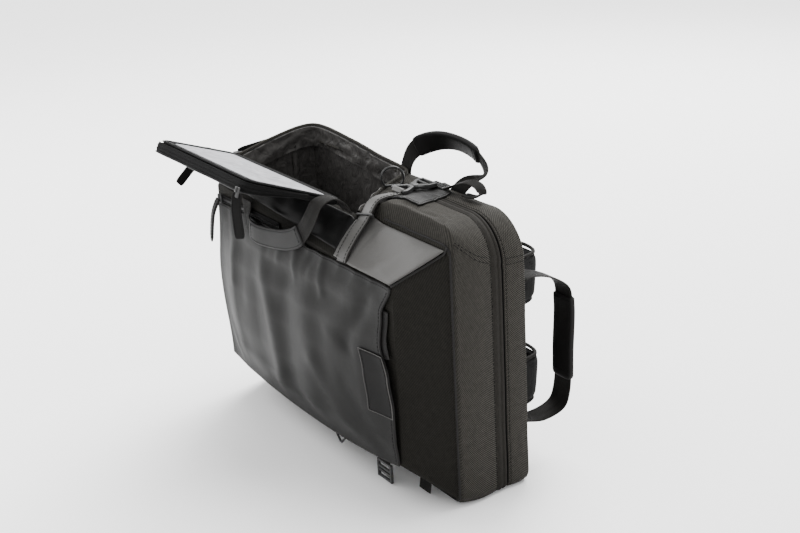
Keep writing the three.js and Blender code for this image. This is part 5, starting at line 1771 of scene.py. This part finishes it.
def remeshed(piece, voxel):
    """Rebuilds a piece's mesh in even voxels."""
    remesh = piece.modifiers.new("Even", "REMESH")
    remesh.mode = "VOXEL"
    remesh.voxel_size = voxel
    remesh.use_smooth_shade = True
    shape = bpy.data.meshes.new_from_object(piece.evaluated_get(bpy.context.evaluated_depsgraph_get()))
    piece.modifiers.remove(remesh)
    materials = list(piece.data.materials)
    piece.data = shape
    shape.name = piece.name
    shape.materials.clear()
    for each in materials:
        shape.materials.append(each)


def soften(piece):
    for polygon in piece.data.polygons:
        polygon.use_smooth = True
    finer = piece.modifiers.new("Finer", "SUBSURF")
    finer.levels = 1
    finer.render_levels = 1


# A pad's outline as a share of its full size, and its height there as a share of its thickness.
PAD_PROFILE = (
    (0.0, 0.0), (0.5, 0.0), (0.94, 0.0), (0.97, 0.25), (0.97, 0.6), (0.90, 0.85), (0.5, 0.97), (0.0, 1.0)
)


def build_pads():
    """Two back pads, swollen by a cloth simulation, with pressed channels."""
    for name in ("back_pad_top", "back_pad_foot"):
        low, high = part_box(name)
        middle = (low + high) / 2
        size = high - low

        def place(u, v):
            around = 2 * math.pi * u
            c, s = math.cos(around), math.sin(around)
            scale, up = PAD_PROFILE[round(v * (len(PAD_PROFILE) - 1))]
            x = math.copysign(abs(c) ** 0.32, c) * size.x / 2 * scale
            z = math.copysign(abs(s) ** 0.32, s) * size.z / 2 * scale
            return Vector((middle.x + x, low.y + up * size.y, middle.z + z))

        bm = close_up(mapped(72, 7, place))
        piece = add_piece(name + "_foam", bm, "mesh", [name])
        remeshed(piece, 0.005)
        settle(piece, 4.0, 0.004)
        for vert in piece.data.vertices:
            if vert.co.y > low.y + 0.5 * size.y:
                for k in (-1, 0, 1):
                    vert.co.y -= 0.0032 * hill(vert.co.z - middle.z - k * size.z / 4, 0.004)
            vert.co.y = max(vert.co.y, low.y)
        soften(piece)


SHOULDER_STRAP = (
    ((0.0, 0.0, 0.0), (0, 0, 1)),
    ((-0.005, 0.4, 0.0), (0, 0, 1)),
    ((0.02, 0.85, 0.0), (0, 0.1, 1)),
    ((0.1, 1.0, 0.0), (0, 0.1, 1)),
    ((0.3, 0.75, 0.0), (0, 0.05, 1)),
    ((0.6, 0.35, 0.0), (0, 0, 1)),
    ((1.0, 0.3, 0.0), (0, 0, 1)),
)
STRAP_WEBBING = (
    ((0.0, 1.0, 0.0), (0, 0, 1)),
    ((0.35, 0.85, 0.0), (0, 0, 1)),
    ((0.69, 0.68, 0.0), (0, 0, 1)),
    ((0.81, 0.25, 0.0), (0, 0, 1)),
    ((0.88, 0.04, 0.0), (0, 0, 1)),
    ((0.97, 0.0, 0.0), (0, 0, 1)),
)


SHOULDER_THICKNESS = 0.013
SHOULDER_WIDTH = 0.054
SHOULDER_SPREAD = 0.065
SHOULDER_RUN = (-0.300, 0.054, 1)


def build_shoulder_straps():
    """Padded shoulder straps folded along the back, with webbing at their feet."""
    anchor_y = BAND + GAP + SHOULDER_THICKNESS / 2
    near = HALF - 0.022 - 0.015 - SHOULDER_THICKNESS / 2 - 0.006
    for side, way in (("lower", -1), ("upper", 1)):
        z = WIDTH / 2 + way * SHOULDER_SPREAD
        rows = rows_at((near, anchor_y, z), SHOULDER_RUN, SHOULDER_STRAP)
        stations = frames_along(rows, 80)
        pad = strip(stations, SHOULDER_WIDTH, SHOULDER_THICKNESS - 0.003, around=30, roundness=0.5)
        piece = add_piece("shoulder_pad_" + side, pad, "mesh", ["shoulder_strap_" + side])
        remeshed(piece, 0.0045)
        settle(piece, 4.0, 0.003)
        soften(piece)
        binding = []
        for line in edge_lines(stations, 0.0285, 0.0):
            binding.append(tube(line, 0.0022, 8))
        add_piece("strap_binding_" + side, merged(binding), "webbing")
        end = rows[-1][0]
        x = end.x - GAP
        y = BAND + GAP + WEB / 2
        run = (-(x + HALF), end.y + BACK_Y - y, 1)
        tail = frames_along(rows_at((x, y, z), run, STRAP_WEBBING), 50)
        web = strip(tail, WEB_WIDTH, WEB)
        add_piece("strap_foot_" + side, web, "webbing", ["shoulder_webbing_" + side])


# Hardware under the lower slope


LASH_Y = -0.62 * TAPER
LASH_DROP = 0.016


def hang(name, x, y, drop, node):
    """Webbing that hangs from the lower slope."""
    z = eased(y).low - GAP
    rows = []
    for share in (0.0, 0.5, 1.0):
        rows.append((placed(x, y + (1 - share) * 2 * WEB, z + (0.25 - share) * drop), Vector((1, 0, 0))))
    add_piece(name, strip(frames_along(rows, 16), WEB_WIDTH, WEB), "webbing", [node])


def build_underside():
    """Lash ring, ladder lock and a webbing end under the lower slope."""
    hang("lash_loop", 0.04 * LENGTH, LASH_Y, LASH_DROP, "lash_web")
    hang("lock_loop", 0.26 * LENGTH, LASH_Y, LASH_DROP, "lock_web")
    hang("foot_end", 0.39 * LENGTH, LASH_Y / 2, 1.3 * LASH_DROP, "foot_tail")
    low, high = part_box("lash_ring")
    y = (low.y + high.y) / 2
    corners = (Vector((low.x + 0.002, y, high.z - 0.002)), Vector((high.x - 0.002, y, high.z - 0.002)),
               Vector(((low.x + high.x) / 2, y, low.z + 0.002)))
    points = []
    for k in range(3):
        a, b, c = corners[k - 1], corners[k], corners[(k + 1) % 3]
        start, stop = b.lerp(a, 0.2), b.lerp(c, 0.2)
        points += bend(start, b, stop, 6)
        points += [stop.lerp(c.lerp(b, 0.2), t / 5) for t in range(1, 5)]
    add_piece("lash_triangle", tube(points, 0.0015, 10, closed=True), "metal", ["lash_ring"])
    low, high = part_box("ladder_lock")
    middle, size = (low + high) / 2, high - low
    bm = bmesh.new()
    for share in (-0.5, -0.12, 0.12, 0.5):
        centre = middle + Vector((0, 0, share * (size.z - 0.003)))
        block(bm, centre, (size.x - 0.002, size.y * 0.8, 0.003), 0.0008)
    for side in (-0.5, 0.5):
        block(bm, middle + Vector((side * (size.x - 0.003), 0, 0)), (0.003, size.y, size.z), 0.0009)
    add_piece("ladder_frame", bm, "plastic", ["ladder_lock"])


# The stage


# The camera's turn is in degrees about X, Y and Z, its focal length in millimetres.
CAMERA_PLACE = (1.3253, -0.8222, 0.8120)
CAMERA_TURN = (69.0568, 3.0039, 56.0753)
FOCAL_LENGTH = 60.69
FLOOR_REACH = 30
ROOM_STRENGTH = 1.35
SKY_STRENGTH = 6.0
SKY_WAY = (0.35, -0.75, -1.6)
LIT_PLACE = (0.0, 0.0, 0.17)
# Name, place, width in metres and power in watts of each soft light.
SOFT_LIGHTS = (
    ("behind", (-1.2, 1.6, 1.5), 1.4, 60),
    ("left", (-1.85, -0.95, 1.35), 1.1, 32),
)


def add_floor():
    bm = bmesh.new()
    bmesh.ops.create_grid(bm, x_segments=1, y_segments=1, size=FLOOR_REACH)
    mesh = bpy.data.meshes.new("floor")
    bm.to_mesh(mesh)
    bm.free()
    floor = link("floor", mesh)
    made, tree, shader, place, _ = new_material("floor")
    grain = add_node(tree, "ShaderNodeTexNoise", {"Vector": place, "Scale": 3.0, "Detail": 4.0})
    colour = bpy.context.scene.backpack_colours.floor
    pale = blend_colours(tree, grain.outputs[0], shaded(colour, 0.99), shaded(colour, 1.01))
    tree.links.new(pale, shader.inputs["Base Color"])
    shader.inputs["Roughness"].default_value = 0.9
    mesh.materials.append(made)


def add_lights():
    world = bpy.data.worlds.new("studio")
    world.use_nodes = True
    background = world.node_tree.nodes["Background"]
    background.inputs[0].default_value = (1.0, 1.0, 1.0, 1.0)
    background.inputs[1].default_value = ROOM_STRENGTH
    bpy.context.scene.world = world
    sky = bpy.data.lights.new("sky", "SUN")
    sky.energy = SKY_STRENGTH
    sky.angle = math.radians(50)
    link("sky", sky).rotation_euler = Vector(SKY_WAY).to_track_quat("-Z", "Y").to_euler()
    for name, place, size, power in SOFT_LIGHTS:
        light = bpy.data.lights.new(name, "AREA")
        light.shape = "SQUARE"
        light.size = size
        light.energy = power
        lamp = link(name, light)
        way = Vector(LIT_PLACE) - Vector(place)
        lamp.location = place
        lamp.rotation_euler = way.to_track_quat("-Z", "Y").to_euler()


def add_camera():
    data = bpy.data.cameras.new("camera")
    data.sensor_fit = "HORIZONTAL"
    data.sensor_width = 36.0
    data.lens = FOCAL_LENGTH
    data.clip_end = 2 * FLOOR_REACH
    camera = link("camera", data)
    camera.location = CAMERA_PLACE
    camera.rotation_euler = [math.radians(angle) for angle in CAMERA_TURN]
    bpy.context.scene.camera = camera


def build_stage():
    """Pale floor, soft lights and the camera."""
    add_floor()
    add_lights()
    add_camera()


# Operators and panel


class BACKPACK_OT_stage(bpy.types.Operator):
    """Pale floor, soft lights and the camera"""

    bl_idname = "backpack.stage"
    bl_label = "Stage"

    def execute(self, context):
        build_stage()
        return {"FINISHED"}


class BACKPACK_OT_shell(bpy.types.Operator):
    """The woven shell: front with its taper, zip band and back"""

    bl_idname = "backpack.shell"
    bl_label = "Shell"

    def execute(self, context):
        build_shell()
        return {"FINISHED"}


class BACKPACK_OT_seams(bpy.types.Operator):
    """Piping round the band's front edge and the slopes, and the stitches of the band"""

    bl_idname = "backpack.seams"
    bl_label = "Seams"

    def execute(self, context):
        build_seams()
        return {"FINISHED"}


class BACKPACK_OT_mouth(bpy.types.Operator):
    """The mouth's rim with its zip, the lining strip and the compartment's near wall"""

    bl_idname = "backpack.mouth"
    bl_label = "Mouth"

    def execute(self, context):
        build_mouth()
        return {"FINISHED"}


class BACKPACK_OT_flap(bpy.types.Operator):
    """The open hatch: padded panel, zip border with teeth, pale lining and rain lip"""

    bl_idname = "backpack.flap"
    bl_label = "Hatch"

    def execute(self, context):
        build_flap()
        return {"FINISHED"}


class BACKPACK_OT_slopes(bpy.types.Operator):
    """Coated panels in front of the hinge and from the strap to the near end"""

    bl_idname = "backpack.slopes"
    bl_label = "Slope panels"

    def execute(self, context):
        build_slope_panels()
        return {"FINISHED"}


class BACKPACK_OT_pocket(bpy.types.Operator):
    """The front pocket's loose panel with its hem, tab, loop, zip and stitches"""

    bl_idname = "backpack.pocket"
    bl_label = "Pocket"

    def execute(self, context):
        build_pocket()
        return {"FINISHED"}


class BACKPACK_OT_strap(bpy.types.Operator):
    """The compression strap over the slope with its coated face, stitches, keeper and patch"""

    bl_idname = "backpack.strap"
    bl_label = "Side strap"

    def execute(self, context):
        build_strap()
        return {"FINISHED"}


class BACKPACK_OT_buckle(bpy.types.Operator):
    """The side-release buckle in two halves, and the metal adjuster behind it"""

    bl_idname = "backpack.buckle"
    bl_label = "Buckle"

    def execute(self, context):
        build_buckle()
        return {"FINISHED"}


class BACKPACK_OT_tail(bpy.types.Operator):
    """The webbing's spare end, and the ring beside the mouth"""

    bl_idname = "backpack.tail"
    bl_label = "Spare end and ring"

    def execute(self, context):
        build_tail()
        return {"FINISHED"}


class BACKPACK_OT_handles(bpy.types.Operator):
    """Webbing handles with wrapped, stitched grips"""

    bl_idname = "backpack.handles"
    bl_label = "Handles"

    def execute(self, context):
        build_handles()
        return {"FINISHED"}


class BACKPACK_OT_pulls(bpy.types.Operator):
    """The four zip pulls: at the mouth, on the pocket and two on the hatch"""

    bl_idname = "backpack.pulls"
    bl_label = "Zip pulls"

    def execute(self, context):
        build_pulls()
        return {"FINISHED"}


class BACKPACK_OT_pads(bpy.types.Operator):
    """Two back pads, swollen by a cloth simulation, with pressed channels"""

    bl_idname = "backpack.pads"
    bl_label = "Back pads"

    def execute(self, context):
        build_pads()
        return {"FINISHED"}


class BACKPACK_OT_shoulders(bpy.types.Operator):
    """Padded shoulder straps folded along the back, with webbing at their feet"""

    bl_idname = "backpack.shoulders"
    bl_label = "Shoulder straps"

    def execute(self, context):
        build_shoulder_straps()
        return {"FINISHED"}


class BACKPACK_OT_underside(bpy.types.Operator):
    """Lash ring, ladder lock and a webbing end under the lower slope"""

    bl_idname = "backpack.underside"
    bl_label = "Underside hardware"

    def execute(self, context):
        build_underside()
        return {"FINISHED"}


OPERATORS = (
    BACKPACK_OT_stage,
    BACKPACK_OT_shell,
    BACKPACK_OT_seams,
    BACKPACK_OT_mouth,
    BACKPACK_OT_flap,
    BACKPACK_OT_slopes,
    BACKPACK_OT_pocket,
    BACKPACK_OT_strap,
    BACKPACK_OT_buckle,
    BACKPACK_OT_tail,
    BACKPACK_OT_handles,
    BACKPACK_OT_pulls,
    BACKPACK_OT_pads,
    BACKPACK_OT_shoulders,
    BACKPACK_OT_underside,
)


class BACKPACK_PT_pieces(bpy.types.Panel):
    """The bag's sizes, colours and pieces."""

    bl_label = "Backpack"
    bl_space_type = "VIEW_3D"
    bl_region_type = "UI"
    bl_category = "Backpack"

    def draw(self, context):
        for group in (context.scene.backpack_sizes, context.scene.backpack_colours):
            for name in group.__annotations__:
                self.layout.prop(group, name)
        for operator in OPERATORS:
            self.layout.operator(operator.bl_idname)


CLASSES = (BackpackSizes, BackpackColours, *OPERATORS, BACKPACK_PT_pieces)


def register():
    for each in CLASSES:
        bpy.utils.register_class(each)
    bpy.types.Scene.backpack_sizes = PointerProperty(type=BackpackSizes)
    bpy.types.Scene.backpack_colours = PointerProperty(type=BackpackColours)


def unregister():
    del bpy.types.Scene.backpack_colours
    del bpy.types.Scene.backpack_sizes
    for each in reversed(CLASSES):
        bpy.utils.unregister_class(each)


def main():
    register()
    for operator in OPERATORS:
        name = operator.bl_idname.split(".")[1]
        getattr(bpy.ops.backpack, name)()
    bpy.context.view_layer.update()


if __name__ == "__main__":
    main()
